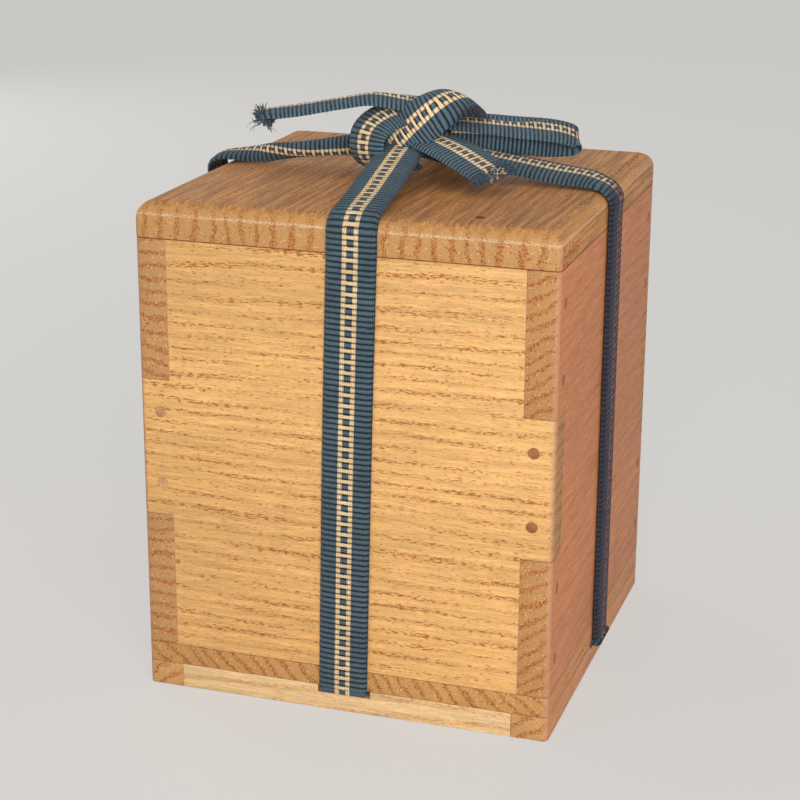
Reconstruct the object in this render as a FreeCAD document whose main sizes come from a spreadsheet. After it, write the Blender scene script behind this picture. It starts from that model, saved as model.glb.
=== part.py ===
"""Lidded wooden box for a tea caddy, tied with a flat woven cord, and the lacquer caddy in it.

The origin is the middle of the footprint at the floor. +X is to the right, +Y away from the
front, +Z up. Lengths are in millimetres.
"""
import FreeCAD, Part
import math
import os

import Sketcher

Vector = FreeCAD.Vector
Rotation = FreeCAD.Rotation
Placement = FreeCAD.Placement

SIZES = [
    ("box_width", "100", "outer width of the box, side to side"),
    ("box_depth", "100", "outer depth of the box, front to back"),
    ("foot_height", "6", "height of the foot rails"),
    ("foot_width", "8.8", "width of a foot rail"),
    ("base_thick", "5", "thickness of the bottom board"),
    ("wall_height", "100.5", "height of the four walls"),
    ("wall_thick", "7.5", "thickness of the four walls"),
    ("lid_thick", "8.5", "thickness of the lid board"),
    ("lid_edge_radius", "4", "rounding along the top of the lid"),
    ("corner_radius", "0.8", "rounding of the box's upright corners"),
    ("peg_diameter", "2.8", "diameter of the wooden pegs"),
    ("peg_length", "20", "length of a corner peg"),
    ("peg_inset", "5", "corner peg's distance from the corner"),
    ("peg_spread", "8.75", "corner peg's distance from the middle of its finger"),
    ("base_peg_inset", "4", "base peg's distance from the outer face"),
    ("base_peg_spread", "22", "base peg's distance from the middle of its wall"),
    ("base_peg_bite", "12", "how deep a base peg enters the wall"),
    ("slot_width", "13", "width of the cord slot in a foot rail"),
    ("slot_play", "0.6", "room under the cord in its slot"),
    ("batten_height", "8", "height of the battens under the lid"),
    ("batten_width", "7", "width of a batten"),
    ("batten_play", "0.4", "room between a batten and the wall"),
    ("batten_chamfer", "1.2", "lead-in along a batten's lower edge"),
    ("cord_width", "12", "width of the flat cord"),
    ("cord_thick", "1.2", "thickness of the flat cord"),
    ("front_foot_shift", "0.3", "front cord's shift to the right at its slot"),
    ("front_lid_shift", "2.6", "front cord's shift to the right at the lid"),
    ("right_shift", "0", "right cord's shift to the back"),
    ("left_shift", "2.7", "left cord's shift to the back"),
    ("back_shift", "1", "back cord's shift to the right"),
    ("cord_rise", "6", "height of the cords over the lid where the knot gathers them"),
    ("cord_rise_play", "0.7", "room between the two cords that cross inside the knot"),
    ("cord_tuck", "3", "distance of a cord's hidden end from the knot's centre"),
    ("crossing_room", "2", "level stretch of the lower cord beside the upper one, under the base"),
    ("crossing_run", "12", "length over which the lower cord dips under the upper one"),
    ("knot_right", "1.5", "knot's centre, to the right of the box's middle"),
    ("knot_back", "0.5", "knot's centre, behind the box's middle"),
    ("knot_height", "9.8", "knot's centre above the lid"),
    ("wrap_across", "18", "the wrap's size from side to side"),
    ("wrap_deep", "17", "the wrap's size from front to back"),
    ("wrap_corner", "6", "radius of the wrap's bends"),
    ("gather_across", "10", "gathered cord inside the wrap, from side to side"),
    ("gather_deep", "12", "gathered cord inside the wrap, from front to back"),
    ("gather_corner", "3", "radius of the gathered cord's bends"),
    ("gather_length", "18", "length of the gathered cord along the axis of the wrap"),
    ("wrap_tilt", "36", "lean of the wrap from level, in degrees"),
    ("right_loop_reach", "39.4", "reach of the right loop from the knot's centre"),
    ("right_loop_gap", "5.4", "distance between the two layers of the right loop"),
    ("right_loop_rise", "14.2", "right loop's upper layer above the lid at the knot"),
    ("right_loop_drop", "1.6", "fall of the right loop along its length"),
    ("right_loop_turn", "18", "direction of the right loop, in degrees from +X"),
    ("left_loop_reach", "15.6", "reach of the left loop from the knot's centre"),
    ("left_loop_start", "6", "distance of the left loop's hidden ends from the knot's centre"),
    ("left_loop_gap", "11.2", "distance between the two layers of the left loop"),
    ("left_loop_rise", "14.4", "left loop's upper layer above the lid"),
    ("left_loop_turn", "-135", "direction of the left loop, in degrees from +X"),
    ("left_tail_reach", "41.5", "reach of the left tail from the knot's centre"),
    ("left_tail_rise", "18.2", "left tail's highest point above the lid"),
    ("left_tail_end", "12.6", "height of the left tail's end above the lid"),
    ("left_tail_turn", "-162", "direction of the left tail, in degrees from +X"),
    ("front_tail_reach", "32", "reach of the front tail from the knot's centre"),
    ("front_tail_rise", "10.6", "front tail's height above the lid at the knot"),
    ("front_tail_end", "2.4", "height of the front tail's end above the lid"),
    ("front_tail_turn", "-35", "direction of the front tail, in degrees from +X"),
    ("right_loop_roll", "15", "roll of the right loop towards the front, in degrees"),
    ("front_tail_roll", "8", "roll of the front tail towards the front, in degrees"),
    ("tail_bend_radius", "90", "radius of the gentle bend along a tail"),
    ("caddy_diameter", "66", "diameter of the caddy"),
    ("caddy_foot_diameter", "42", "diameter of the flat the caddy stands on"),
    ("caddy_seam_height", "40", "height of the seam between the caddy and its lid"),
    ("caddy_height", "67", "height of the closed caddy"),
    ("caddy_belly_radius", "24", "radius of the curve that draws the caddy in to its foot"),
    ("caddy_crown_rise", "2.6", "rise of the crown of the caddy's lid"),
    ("caddy_shoulder_radius", "5", "radius of the shoulder of the caddy's lid"),
    ("caddy_floor", "3", "thickness of the caddy's floor"),
    ("caddy_lid_wall", "1.6", "thickness of the caddy's lid"),
    ("caddy_lip_height", "9", "height of the caddy's lip inside its lid"),
    ("caddy_lip_thick", "1.1", "thickness of the caddy's lip"),
    ("caddy_lip_play", "0.25", "room between the lip and the lid"),
]

doc = FreeCAD.newDocument("tea_caddy_box")
sheet = doc.addObject("Spreadsheet::Sheet", "sizes")
for row, (alias, number, meaning) in enumerate(SIZES, start=1):
    sheet.set("A%d" % row, alias)
    sheet.set("B%d" % row, number)
    sheet.setAlias("B%d" % row, alias)
    sheet.set("C%d" % row, meaning)
doc.recompute()


class Size:
    """A length together with the formula that ties it to the sheet."""

    def __init__(self, formula, value):
        self.formula = formula
        self.value = value

    def join(self, sign, other, value):
        text = other.formula if isinstance(other, Size) else repr(float(other))
        return Size("(%s %s %s)" % (self.formula, sign, text), value)

    def __add__(self, other):
        return self.join("+", other, self.value + number(other))

    def __sub__(self, other):
        return self.join("-", other, self.value - number(other))

    def __mul__(self, other):
        return self.join("*", other, self.value * number(other))

    def __truediv__(self, other):
        return self.join("/", other, self.value / number(other))

    def __neg__(self):
        return self * -1

    def root(self):
        return Size("sqrt(%s)" % self.formula, math.sqrt(self.value))


def number(size):
    return size.value if isinstance(size, Size) else float(size)


def size(alias):
    return Size("sizes." + alias, float(sheet.get(alias)))


ZERO = Size("0.0", 0.0)
FINGER_COUNT = 3
PEG_SIDE_COUNT = 8
CURVE_STEPS = 3

box_width = size("box_width")
box_depth = size("box_depth")
foot_height = size("foot_height")
foot_width = size("foot_width")
base_thick = size("base_thick")
wall_height = size("wall_height")
wall_thick = size("wall_thick")
lid_thick = size("lid_thick")
peg_diameter = size("peg_diameter")
peg_length = size("peg_length")
peg_inset = size("peg_inset")
peg_spread = size("peg_spread")
cord_width = size("cord_width")
cord_thick = size("cord_thick")

wall_bottom = foot_height + base_thick
wall_top = wall_bottom + wall_height
lid_top = wall_top + lid_thick
finger_height = wall_height / FINGER_COUNT
half_cord = cord_thick / 2


def bind(thing, name, length):
    """Ties a property to the sheet, or sets it where it is a plain number."""
    if isinstance(length, Size):
        thing.setExpression(name, length.formula)
    else:
        setattr(thing, name, length)


def new_body(label, x=ZERO, y=ZERO, z=ZERO, turn=0.0, tilt=0.0):
    """A body that stands at x, y, z, rolled about its own X by tilt and turned about Z by turn."""
    body = doc.addObject("PartDesign::Body", label)
    body.Label = label
    body.AllowCompound = True
    roll = Rotation(Vector(1, 0, 0), number(tilt))
    body.Placement = Placement(Vector(0, 0, 0), Rotation(Vector(0, 0, 1), number(turn)) * roll)
    for axis, length in (("x", x), ("y", y), ("z", z)):
        body.setExpression("Placement.Base." + axis, length.formula)
    return body


def plane(body, role):
    return [item for item in body.Origin.OriginFeatures if item.Role == role][0]


def new_sketch(body, role, name, lift=None):
    """A sketch on one of the body's own planes, lifted along that plane's normal."""
    sketch = body.newObject("Sketcher::SketchObject", name)
    sketch.AttachmentSupport = [(plane(body, role), "")]
    sketch.MapMode = "FlatFace"
    if lift is not None:
        sketch.setExpression("AttachmentOffset.Base.z", lift.formula)
    return sketch


class Drawing:
    """The lines and dimensions of one sketch, gathered first and then added together."""

    def __init__(self, sketch):
        self.sketch = sketch
        self.lines = []
        self.rules = []
        self.ties = []

    def add(self, line):
        self.lines.append(line)
        return len(self.lines) - 1

    def rule(self, kind, *places):
        self.rules.append(Sketcher.Constraint(kind, *places))

    def value(self, kind, places, length):
        """One dimension, tied to the sheet where it has a formula."""
        if isinstance(length, Size) and "sizes" in length.formula:
            self.ties.append(("Constraints[%d]" % len(self.rules), length.formula))
        self.rule(kind, *places, number(length))

    def point(self, line, end, x, y):
        """Holds one end of a line, or a circle's centre, at x, y in the sketch."""
        for kind, axis, length in (("DistanceX", -2, x), ("DistanceY", -1, y)):
            if number(length) == 0.0:
                self.rule("PointOnObject", line, end, axis)
            else:
                self.value(kind, (-1, 1, line, end), length)

    def loop(self, corners, bends):
        """A closed outline. bends[i] is the radius from corner i to the next, positive to the left."""
        points = [Vector(number(x), number(y), 0) for x, y in corners]
        count = len(points)
        runs = []
        for i, start in enumerate(points):
            end = points[(i + 1) % count]
            if i not in bends:
                runs.append((self.add(Part.LineSegment(start, end)), 1, 2))
                continue
            radius = number(bends[i])
            chord = end - start
            side = Vector(-chord.y, chord.x, 0).normalize() * math.copysign(1.0, radius)
            centre = (start + end) / 2 + side * math.sqrt(radius ** 2 - chord.Length ** 2 / 4)
            first, last = (start, end) if radius > 0 else (end, start)
            angles = [math.atan2(p.y - centre.y, p.x - centre.x) for p in (first, last)]
            circle = Part.Circle(centre, Vector(0, 0, 1), abs(radius))
            arc = self.add(Part.ArcOfCircle(circle, *angles))
            runs.append((arc, 1, 2) if radius > 0 else (arc, 2, 1))
        for i, (line, first, last) in enumerate(runs):
            following = runs[(i + 1) % count]
            self.rule("Coincident", line, last, following[0], following[1])
        for (x, y), (line, first, last) in zip(corners, runs):
            self.point(line, first, x, y)
        for i, radius in bends.items():
            length = radius if number(radius) > 0 else -radius
            self.value("Radius", (runs[i][0],), length)

    def finish(self):
        self.sketch.addGeometry(self.lines, False)
        self.sketch.addConstraint(self.rules)
        for name, formula in self.ties:
            self.sketch.setExpression(name, formula)
        return self.sketch


def outline(sketch, corners, bends=None):
    drawing = Drawing(sketch)
    drawing.loop(corners, bends or {})
    return drawing.finish()


def rectangle(sketch, left, right, low, high):
    return outline(sketch, [(left, low), (right, low), (right, high), (left, high)])


def pad(body, sketch, length, name, reverse=False, middle=False):
    feature = body.newObject("PartDesign::Pad", name)
    feature.Profile = sketch
    bind(feature, "Length", length)
    feature.Reversed = reverse
    if middle:
        feature.SideType = "Symmetric"
    sketch.Visibility = False
    return feature


def peg(body, role, place, start, length, name):
    """A whittled peg, from start along the normal of one of the body's planes."""
    feature = body.newObject("PartDesign::AdditivePrism", name)
    feature.Polygon = PEG_SIDE_COUNT
    bind(feature, "Circumradius", peg_diameter / 2)
    bind(feature, "Height", length)
    feature.AttachmentSupport = [(plane(body, role), "")]
    feature.MapMode = "FlatFace"
    for axis, offset in zip("xyz", place + (start,)):
        bind(feature, "AttachmentOffset.Base." + axis, offset)


def round_edges(body, radius, chosen, name):
    """Rounds the edges for which chosen(edge) is true."""
    doc.recompute()
    base = body.Tip
    names = ["Edge%d" % i for i, edge in enumerate(base.Shape.Edges, start=1) if chosen(edge)]
    feature = body.newObject("PartDesign::Fillet", name)
    feature.Base = (base, names)
    bind(feature, "Radius", radius)
    body.Tip = feature
    doc.recompute()


def near(a, b):
    return abs(a - b) < 0.01


def upright(edge):
    start, end = edge.Vertexes[0].Point, edge.Vertexes[-1].Point
    return near(start.x, end.x) and near(start.y, end.y)


def outer_corner(edge, side):
    """True for an upright edge at x = side or -side on the outer face, y = 0."""
    middle = edge.CenterOfMass
    return upright(edge) and near(abs(middle.x), side) and near(middle.y, 0)


def fingers(first):
    """Low and high ends of every second finger, from the one numbered first."""
    return [(finger_height * k, finger_height * (k + 1)) for k in range(first, FINGER_COUNT, 2)]


def finger_pegs(first):
    """Heights of the two pegs in each of those fingers."""
    middles = [(low + high) / 2 for low, high in fingers(first)]
    return [height for middle in middles for height in (middle - peg_spread, middle + peg_spread)]


def wall(label, span, x, y, turn, first):
    """A wall with its outer face on its own XZ plane. Fingers first, first + 2 reach the corners."""
    body = new_body(label, x, y, wall_bottom, turn)
    inner = span / 2 - wall_thick
    outer = span / 2
    panel = new_sketch(body, "XZ_Plane", label + "_panel")
    rectangle(panel, -inner, inner, ZERO, wall_height)
    pad(body, panel, wall_thick, label + "_panel_pad", reverse=True)
    for low, high in fingers(first):
        finger = new_sketch(body, "XZ_Plane", label + "_finger")
        rectangle(finger, -outer, outer, low, high)
        pad(body, finger, wall_thick, label + "_finger_pad", reverse=True)
    side = number(outer)
    round_edges(body, size("corner_radius"), lambda edge: outer_corner(edge, side), label + "_corners")
    return body


def pegs(label, span, x, y, turn, first):
    """The pegs driven in through one wall's fingers, at both ends of the wall."""
    body = new_body(label, x, y, wall_bottom, turn)
    side = span / 2 - peg_inset
    for end in (-side, side):
        for height in finger_pegs(first):
            peg(body, "XZ_Plane", (end, height), -peg_length, peg_length, label + "_peg")
    return body


def base_peg_places():
    spread = size("base_peg_spread")
    along_x = half_width - size("base_peg_inset")
    along_y = half_depth - size("base_peg_inset")
    places = []
    for side in (-1, 1):
        for end in (-1, 1):
            places.append((spread * side, along_y * end))
            places.append((along_x * side, spread * end))
    return places


def base_pegs():
    body = new_body("base_pegs")
    length = wall_bottom + size("base_peg_bite")
    for place in base_peg_places():
        peg(body, "XY_Plane", place, ZERO, length, "base_peg")
    return body


def bottom_board():
    body = new_body("bottom_board_blank", z=foot_height)
    sketch = new_sketch(body, "XY_Plane", "bottom_board_outline")
    rectangle(sketch, -half_width, half_width, -half_depth, half_depth)
    pad(body, sketch, base_thick, "bottom_board_pad")
    round_edges(body, size("corner_radius"), upright, "bottom_board_corners")
    return body


def foot_rail(label, length, x, y, turn, shift, whole):
    """A rail under the bottom board, with a slot in its top for the cord."""
    body = new_body(label, x, y, ZERO, turn)
    half_slot = size("slot_width") / 2
    slot_floor = foot_height - cord_thick - size("slot_play")
    end = length / 2
    side = outline(new_sketch(body, "XZ_Plane", label + "_outline"), [
        (-end, ZERO), (end, ZERO), (end, foot_height),
        (shift + half_slot, foot_height), (shift + half_slot, slot_floor),
        (shift - half_slot, slot_floor), (shift - half_slot, foot_height), (-end, foot_height),
    ])
    pad(body, side, foot_width, label + "_pad", reverse=True)
    if whole:
        tip = number(end)
        round_edges(body, size("corner_radius"), lambda edge: outer_corner(edge, tip),
                    label + "_corners")
    return body


def lid_board():
    body = new_body("lid_board", z=wall_top)
    sketch = new_sketch(body, "XY_Plane", "lid_outline")
    rectangle(sketch, -half_width, half_width, -half_depth, half_depth)
    pad(body, sketch, lid_thick, "lid_pad")
    top = number(lid_thick)
    round_edges(body, size("lid_edge_radius"), lambda edge: near(edge.CenterOfMass.z, top), "lid_rounding")
    return body


def batten(label, length, x, y, turn):
    """A strip under the lid that keeps it in the mouth of the box."""
    body = new_body(label, x, y, wall_top, turn)
    height = size("batten_height")
    width = size("batten_width")
    lead = size("batten_chamfer")
    section = outline(new_sketch(body, "YZ_Plane", label + "_profile"), [
        (ZERO, ZERO), (ZERO, lead - height), (lead, -height), (width, -height), (width, ZERO),
    ])
    pad(body, section, length, label + "_pad", middle=True)
    return body


def cord_under_front_back():
    """The cord's run under the bottom board, bent up at both ends."""
    body = new_body("cord_under_front_back", size("front_foot_shift"), ZERO, foot_height)
    side = outline(new_sketch(body, "YZ_Plane", "cord_under_front_back_profile"), [
        (-half_depth, ZERO), (-half_depth - cord_thick, ZERO), (-half_depth, -cord_thick),
        (half_depth, -cord_thick), (half_depth + cord_thick, ZERO), (half_depth, ZERO),
    ], {1: cord_thick, 3: cord_thick})
    pad(body, side, cord_width, "cord_under_front_back_pad", middle=True)
    return body


def cord_under_left_right():
    """The second run, which dips under the first one where they cross."""
    body = new_body("cord_under_left_right", ZERO, ZERO, foot_height)
    flat = cord_width / 2 + size("crossing_room")
    ramp = flat + size("crossing_run")
    low = -cord_thick
    side = outline(new_sketch(body, "XZ_Plane", "cord_under_left_right_profile"), [
        (-half_width, ZERO), (-half_width - cord_thick, ZERO), (-half_width, low),
        (-ramp, low), (-flat, low * 2), (flat, low * 2), (ramp, low),
        (half_width, low), (half_width + cord_thick, ZERO), (half_width, ZERO),
        (ramp, ZERO), (flat, low), (-flat, low), (-ramp, ZERO),
    ], {1: cord_thick, 7: cord_thick})
    pad(body, side, cord_width, "cord_under_left_right_pad", middle=True)
    return body


def cord_side(label, x, y, turn, foot_shift, lid_shift):
    """The cord up one wall, from its slot to the lid, leaning a little."""
    body = new_body(label, x, y, foot_height, turn)
    half = cord_width / 2
    climb = wall_top - foot_height
    face = outline(new_sketch(body, "XZ_Plane", label + "_outline"), [
        (foot_shift - half, ZERO), (foot_shift + half, ZERO),
        (lid_shift + half, climb), (lid_shift - half, climb),
    ])
    pad(body, face, cord_thick, label + "_pad")
    return body


def cord_over(label, x, y, turn, shift, reach, rise):
    """The cord up the lid's side, over its rounded edge and taut up to the knot."""
    body = new_body(label, x, y, wall_top, turn)
    bend = size("lid_edge_radius")
    radius = bend + half_cord
    rise_end = lid_thick - bend
    peak = lid_thick + rise
    path = Drawing(new_sketch(body, "YZ_Plane", label + "_path"))
    across = number(reach - bend)
    up = number(peak - rise_end)
    middle = Vector(number(bend), number(rise_end), 0)
    arc_end = touch_angle(across, up, number(radius))
    contact = middle + Vector(math.cos(arc_end), math.sin(arc_end), 0) * number(radius)
    path.add(Part.LineSegment(Vector(-number(half_cord), 0, 0),
                              Vector(-number(half_cord), middle.y, 0)))
    path.add(Part.ArcOfCircle(Part.Circle(middle, Vector(0, 0, 1), number(radius)), arc_end, math.pi))
    path.add(Part.LineSegment(contact, Vector(number(reach), number(peak), 0)))
    path.rule("Tangent", 0, 2, 1, 2)
    path.rule("Tangent", 1, 1, 2, 1)
    path.rule("PointOnObject", 0, 1, -1)
    path.point(1, 3, bend, rise_end)
    path.value("Radius", (1,), radius)
    path.point(2, 2, reach, peak)
    spine = path.finish()
    section = new_sketch(body, "XY_Plane", label + "_section")
    rectangle(section, shift - cord_width / 2, shift + cord_width / 2, -cord_thick, ZERO)
    pipe = body.newObject("PartDesign::AdditivePipe", label + "_pipe")
    pipe.Profile = section
    pipe.Spine = (spine, ["Edge1", "Edge2", "Edge3"])
    return body


def touch_angle(across, up, radius):
    """Angle at which a straight run to (across, up) leaves a circle round the origin."""
    return math.atan2(up, across) + math.acos(radius / math.hypot(across, up))


def rounded(body, name, across, deep, radius, length):
    """A block with rounded sides about the body's own Z axis."""
    x, y = across / 2, deep / 2
    sketch = outline(new_sketch(body, "XY_Plane", name + "_outline"), [
        (x, radius - y), (x, y - radius), (x - radius, y), (radius - x, y),
        (-x, y - radius), (-x, radius - y), (radius - x, -y), (x - radius, -y),
    ], {1: radius, 3: radius, 5: radius, 7: radius})
    pad(body, sketch, length, name + "_pad", middle=True)


def knot():
    """The gathered cord with the wrap round it, flat where it sits on the lid."""
    right, back = size("knot_right"), size("knot_back")
    body = new_body("knot_blank", right, back, lid_top + size("knot_height"), -90, size("wrap_tilt"))
    rounded(body, "wrap", size("wrap_deep"), size("wrap_across"), size("wrap_corner"), cord_width)
    rounded(body, "gather", size("gather_deep"), size("gather_across"), size("gather_corner"),
            size("gather_length"))
    block = doc.addObject("Part::Box", "lid_clearance")
    block.setExpression("Length", box_width.formula)
    block.setExpression("Width", box_depth.formula)
    block.setExpression("Height", lid_thick.formula)
    block.setExpression("Placement.Base.x", (-half_width).formula)
    block.setExpression("Placement.Base.y", (-half_depth).formula)
    block.setExpression("Placement.Base.z", wall_top.formula)
    return cut("cord_knot", body, block)


def cut(label, base, tool):
    result = doc.addObject("Part::Cut", label)
    result.Label = label
    result.Base = base
    result.Tool = tool
    return result


def cord_piece(label, height, turn, roll, corners, bends):
    """A stretch of cord from the knot, drawn from its side and as wide as the cord."""
    right, back = size("knot_right"), size("knot_back")
    body = new_body(label + "_blank", right, back, lid_top + height, turn, roll)
    side = outline(new_sketch(body, "XZ_Plane", label + "_side"), corners, bends)
    pad(body, side, cord_width, label + "_pad", middle=True)
    return body


def right_loop():
    gap = size("right_loop_gap") / 2
    drop = size("right_loop_drop")
    reach = size("right_loop_reach")
    start = size("cord_tuck")
    bend = reach - half_cord - gap
    outer, inner = gap + half_cord, gap - half_cord
    return cord_piece("cord_right_loop", size("right_loop_rise") - gap, size("right_loop_turn"),
                      size("right_loop_roll"), [
        (start, outer), (start, inner), (bend, inner - drop), (bend + inner, -drop),
        (bend, -inner - drop), (start, -inner), (start, -outer), (bend, -outer - drop),
        (bend + outer, -drop), (bend, outer - drop),
    ], {2: -inner, 3: -inner, 7: outer, 8: outer})


def left_loop():
    gap = size("left_loop_gap") / 2
    start = size("left_loop_start")
    bend = size("left_loop_reach") - half_cord - gap
    outer, inner = gap + half_cord, gap - half_cord
    return cord_piece("cord_left_loop", size("left_loop_rise") - gap, size("left_loop_turn"), 0, [
        (start, outer), (start, inner), (bend, inner), (bend + inner, ZERO),
        (bend, -inner), (start, -inner), (start, -outer), (bend, -outer),
        (bend + outer, ZERO), (bend, outer),
    ], {2: -inner, 3: -inner, 7: outer, 8: outer})


def tail(label, reach, rise, end, turn, roll):
    """A loose end that bends gently down from the knot."""
    start = size("cord_tuck")
    radius = size("tail_bend_radius")
    fall = end - rise
    return cord_piece(label, rise, turn, roll, [
        (start, half_cord), (start, -half_cord), (reach, fall - half_cord), (reach, fall + half_cord),
    ], {1: -radius, 3: radius})


def turn_profile(body, name, corners):
    """Turns a half profile about the body's own Z axis."""
    sketch = outline(new_sketch(body, "XZ_Plane", name + "_profile"), corners)
    turned = body.newObject("PartDesign::Revolution", name + "_turned")
    turned.Profile = sketch
    turned.ReferenceAxis = (sketch, ["V_Axis"])
    turned.Angle = 360
    return body


def steps():
    """Fractions of the way along a curve that is drawn in short straight runs."""
    return [k / CURVE_STEPS for k in range(1, CURVE_STEPS)]


def caddy_body():
    """The caddy: drawn in to its foot, hollow, with a thin lip that stands up inside the lid."""
    outer = size("caddy_diameter") / 2
    foot = size("caddy_foot_diameter") / 2
    seam = size("caddy_seam_height")
    lip = outer - size("caddy_lid_wall") - size("caddy_lip_play")
    inner = lip - size("caddy_lip_thick")
    floor = size("caddy_floor")
    belly = size("caddy_belly_radius")
    draw = outer - foot
    belly_top = (belly * draw * 2 - draw * draw).root()
    belly_in = belly - outer + inner
    depth_in = belly_top - floor
    draw_in = belly_in - (belly_in * belly_in - depth_in * depth_in).root()

    def curve(side, inset, radius):
        """The rounding from the side inwards, down to where it is drawn in by inset."""
        draws = [inset * part ** 2 for part in steps()]
        return [(side - d, belly_top - (radius * d * 2 - d * d).root()) for d in draws]

    outside = curve(outer, draw, belly)[::-1]
    inside = curve(inner, draw_in, belly_in)
    lip_top = seam + size("caddy_lip_height")
    body = new_body("caddy_body", z=wall_bottom)
    return turn_profile(body, "caddy_body", [(ZERO, ZERO), (foot, ZERO)] + outside + [
        (outer, belly_top), (outer, seam), (lip, seam), (lip, lip_top), (inner, lip_top),
        (inner, belly_top)] + inside + [(inner - draw_in, floor), (ZERO, floor)])


def caddy_lid():
    """The caddy's lid: straight sides, a rounded shoulder and a slightly crowned top."""
    outer = size("caddy_diameter") / 2
    thick = size("caddy_lid_wall")
    height = size("caddy_height") - size("caddy_seam_height")
    rise = size("caddy_crown_rise")
    shoulder = size("caddy_shoulder_radius")
    across = outer - shoulder
    side = height - rise - shoulder
    curve = []
    for part in steps():
        angle = math.radians(90 * part)
        curve.append((across + shoulder * math.cos(angle), side + shoulder * math.sin(angle)))
    ceiling = height - rise - thick
    inner = outer - thick
    body = new_body("caddy_lid", z=wall_bottom + size("caddy_seam_height"))
    return turn_profile(body, "caddy_lid", [(outer, ZERO), (outer, side)] + curve + [
        (across, height - rise), (ZERO, height), (ZERO, ceiling), (across, ceiling),
        (inner, side), (inner, ZERO),
    ])


half_width = box_width / 2
half_depth = box_depth / 2
mouth_x = half_width - wall_thick - size("batten_play")
mouth_y = half_depth - wall_thick - size("batten_play")
rail_gap = foot_width * 2
batten_gap = size("batten_width") * 2
tuck = size("cord_tuck")
low_rise = size("cord_rise")
high_rise = low_rise + cord_thick + size("cord_rise_play")
knot_right = size("knot_right")
knot_back = size("knot_back")
foot_shift = size("front_foot_shift")
front_shift = size("front_lid_shift")
back_shift = size("back_shift")
left_shift = size("left_shift")
right_shift = size("right_shift")

all_pegs = [
    pegs("front_pegs", box_width, ZERO, -half_depth, 0, 1),
    pegs("back_pegs", box_width, ZERO, half_depth, 180, 1),
    pegs("left_pegs", box_depth, -half_width, ZERO, -90, 0),
    pegs("right_pegs", box_depth, half_width, ZERO, 90, 0),
    base_pegs(),
]
driven = doc.addObject("Part::Compound", "driven_pegs")
driven.Links = all_pegs
pegged = {
    "front_wall": wall("front_wall_blank", box_width, ZERO, -half_depth, 0, 1),
    "back_wall": wall("back_wall_blank", box_width, ZERO, half_depth, 180, 1),
    "left_wall": wall("left_wall_blank", box_depth, -half_width, ZERO, -90, 0),
    "right_wall": wall("right_wall_blank", box_depth, half_width, ZERO, 90, 0),
    "bottom_board": bottom_board(),
    "front_foot_rail": foot_rail("front_foot_rail_blank", box_width - rail_gap, ZERO, -half_depth,
                                 0, foot_shift, False),
    "back_foot_rail": foot_rail("back_foot_rail_blank", box_width - rail_gap, ZERO, half_depth,
                                180, -foot_shift, False),
    "left_foot_rail": foot_rail("left_foot_rail_blank", box_depth, -half_width, ZERO, -90, ZERO, True),
    "right_foot_rail": foot_rail("right_foot_rail_blank", box_depth, half_width, ZERO, 90, ZERO, True),
}
pieces = [cut(label, blank, driven) for label, blank in pegged.items()]
pieces += all_pegs
pieces += [
    lid_board(),
    batten("front_batten", mouth_x * 2, ZERO, -mouth_y, 0),
    batten("back_batten", mouth_x * 2, ZERO, mouth_y, 180),
    batten("left_batten", mouth_y * 2 - batten_gap, -mouth_x, ZERO, -90),
    batten("right_batten", mouth_y * 2 - batten_gap, mouth_x, ZERO, 90),
    cord_under_front_back(),
    cord_under_left_right(),
    cord_side("cord_front", ZERO, -half_depth, 0, foot_shift, front_shift),
    cord_side("cord_back", ZERO, half_depth, 180, -foot_shift, -back_shift),
    cord_side("cord_left", -half_width, ZERO, -90, ZERO, -left_shift),
    cord_side("cord_right", half_width, ZERO, 90, ZERO, right_shift),
    caddy_body(),
    caddy_lid(),
]

cord_knot = knot()
pieces.append(cord_knot)
blanks = {
    "cord_over_front": cord_over("cord_over_front_blank", ZERO, -half_depth, 0, front_shift,
                                 half_depth + knot_back - tuck, high_rise),
    "cord_over_back": cord_over("cord_over_back_blank", ZERO, half_depth, 180, -back_shift,
                                half_depth - knot_back - tuck, high_rise),
    "cord_over_left": cord_over("cord_over_left_blank", -half_width, ZERO, -90, -left_shift,
                                half_width + knot_right - tuck, low_rise),
    "cord_over_right": cord_over("cord_over_right_blank", half_width, ZERO, 90, right_shift,
                                 half_width - knot_right - tuck, low_rise),
    "cord_right_loop": right_loop(),
    "cord_left_loop": left_loop(),
    "cord_left_tail": tail("cord_left_tail", size("left_tail_reach"), size("left_tail_rise"),
                           size("left_tail_end"), size("left_tail_turn"), 0),
    "cord_front_tail": tail("cord_front_tail", size("front_tail_reach"), size("front_tail_rise"),
                            size("front_tail_end"), size("front_tail_turn"), size("front_tail_roll")),
}
pieces += [cut(label, blank, cord_knot) for label, blank in blanks.items()]
doc.recompute()

broken = [item.Name for item in doc.Objects if "Invalid" in item.State or "Error" in item.State]
if broken:
    raise RuntimeError("failed to build: " + ", ".join(broken))
for piece in pieces:
    shape = piece.Shape
    if shape.isNull() or not shape.isValid() or not shape.Solids:
        raise RuntimeError("no sound solid: " + piece.Label)

os.makedirs("parts", exist_ok=True)
for piece in pieces:
    piece.Shape.exportStep("parts/%s.step" % piece.Label)
    box = piece.Shape.BoundBox
    print("%-24s solids %2d  volume %9.1f  x %.1f %.1f  y %.1f %.1f  z %.1f %.1f" % (
        piece.Label, len(piece.Shape.Solids), piece.Shape.Volume,
        box.XMin, box.XMax, box.YMin, box.YMax, box.ZMin, box.ZMax))
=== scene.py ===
"""Dresses the lidded wooden box, the woven cord tied round it and the lacquer caddy inside it.

Lengths in the code are millimetres in the part's own frame, turned to metres where a mesh is
finished: +X to the right, +Y away from the front, +Z up, origin at the middle of the footprint.
"""

import math
import random

import bmesh
import bpy
from bpy.props import FloatProperty, FloatVectorProperty, IntProperty, PointerProperty
from mathutils import Matrix, Vector


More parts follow.
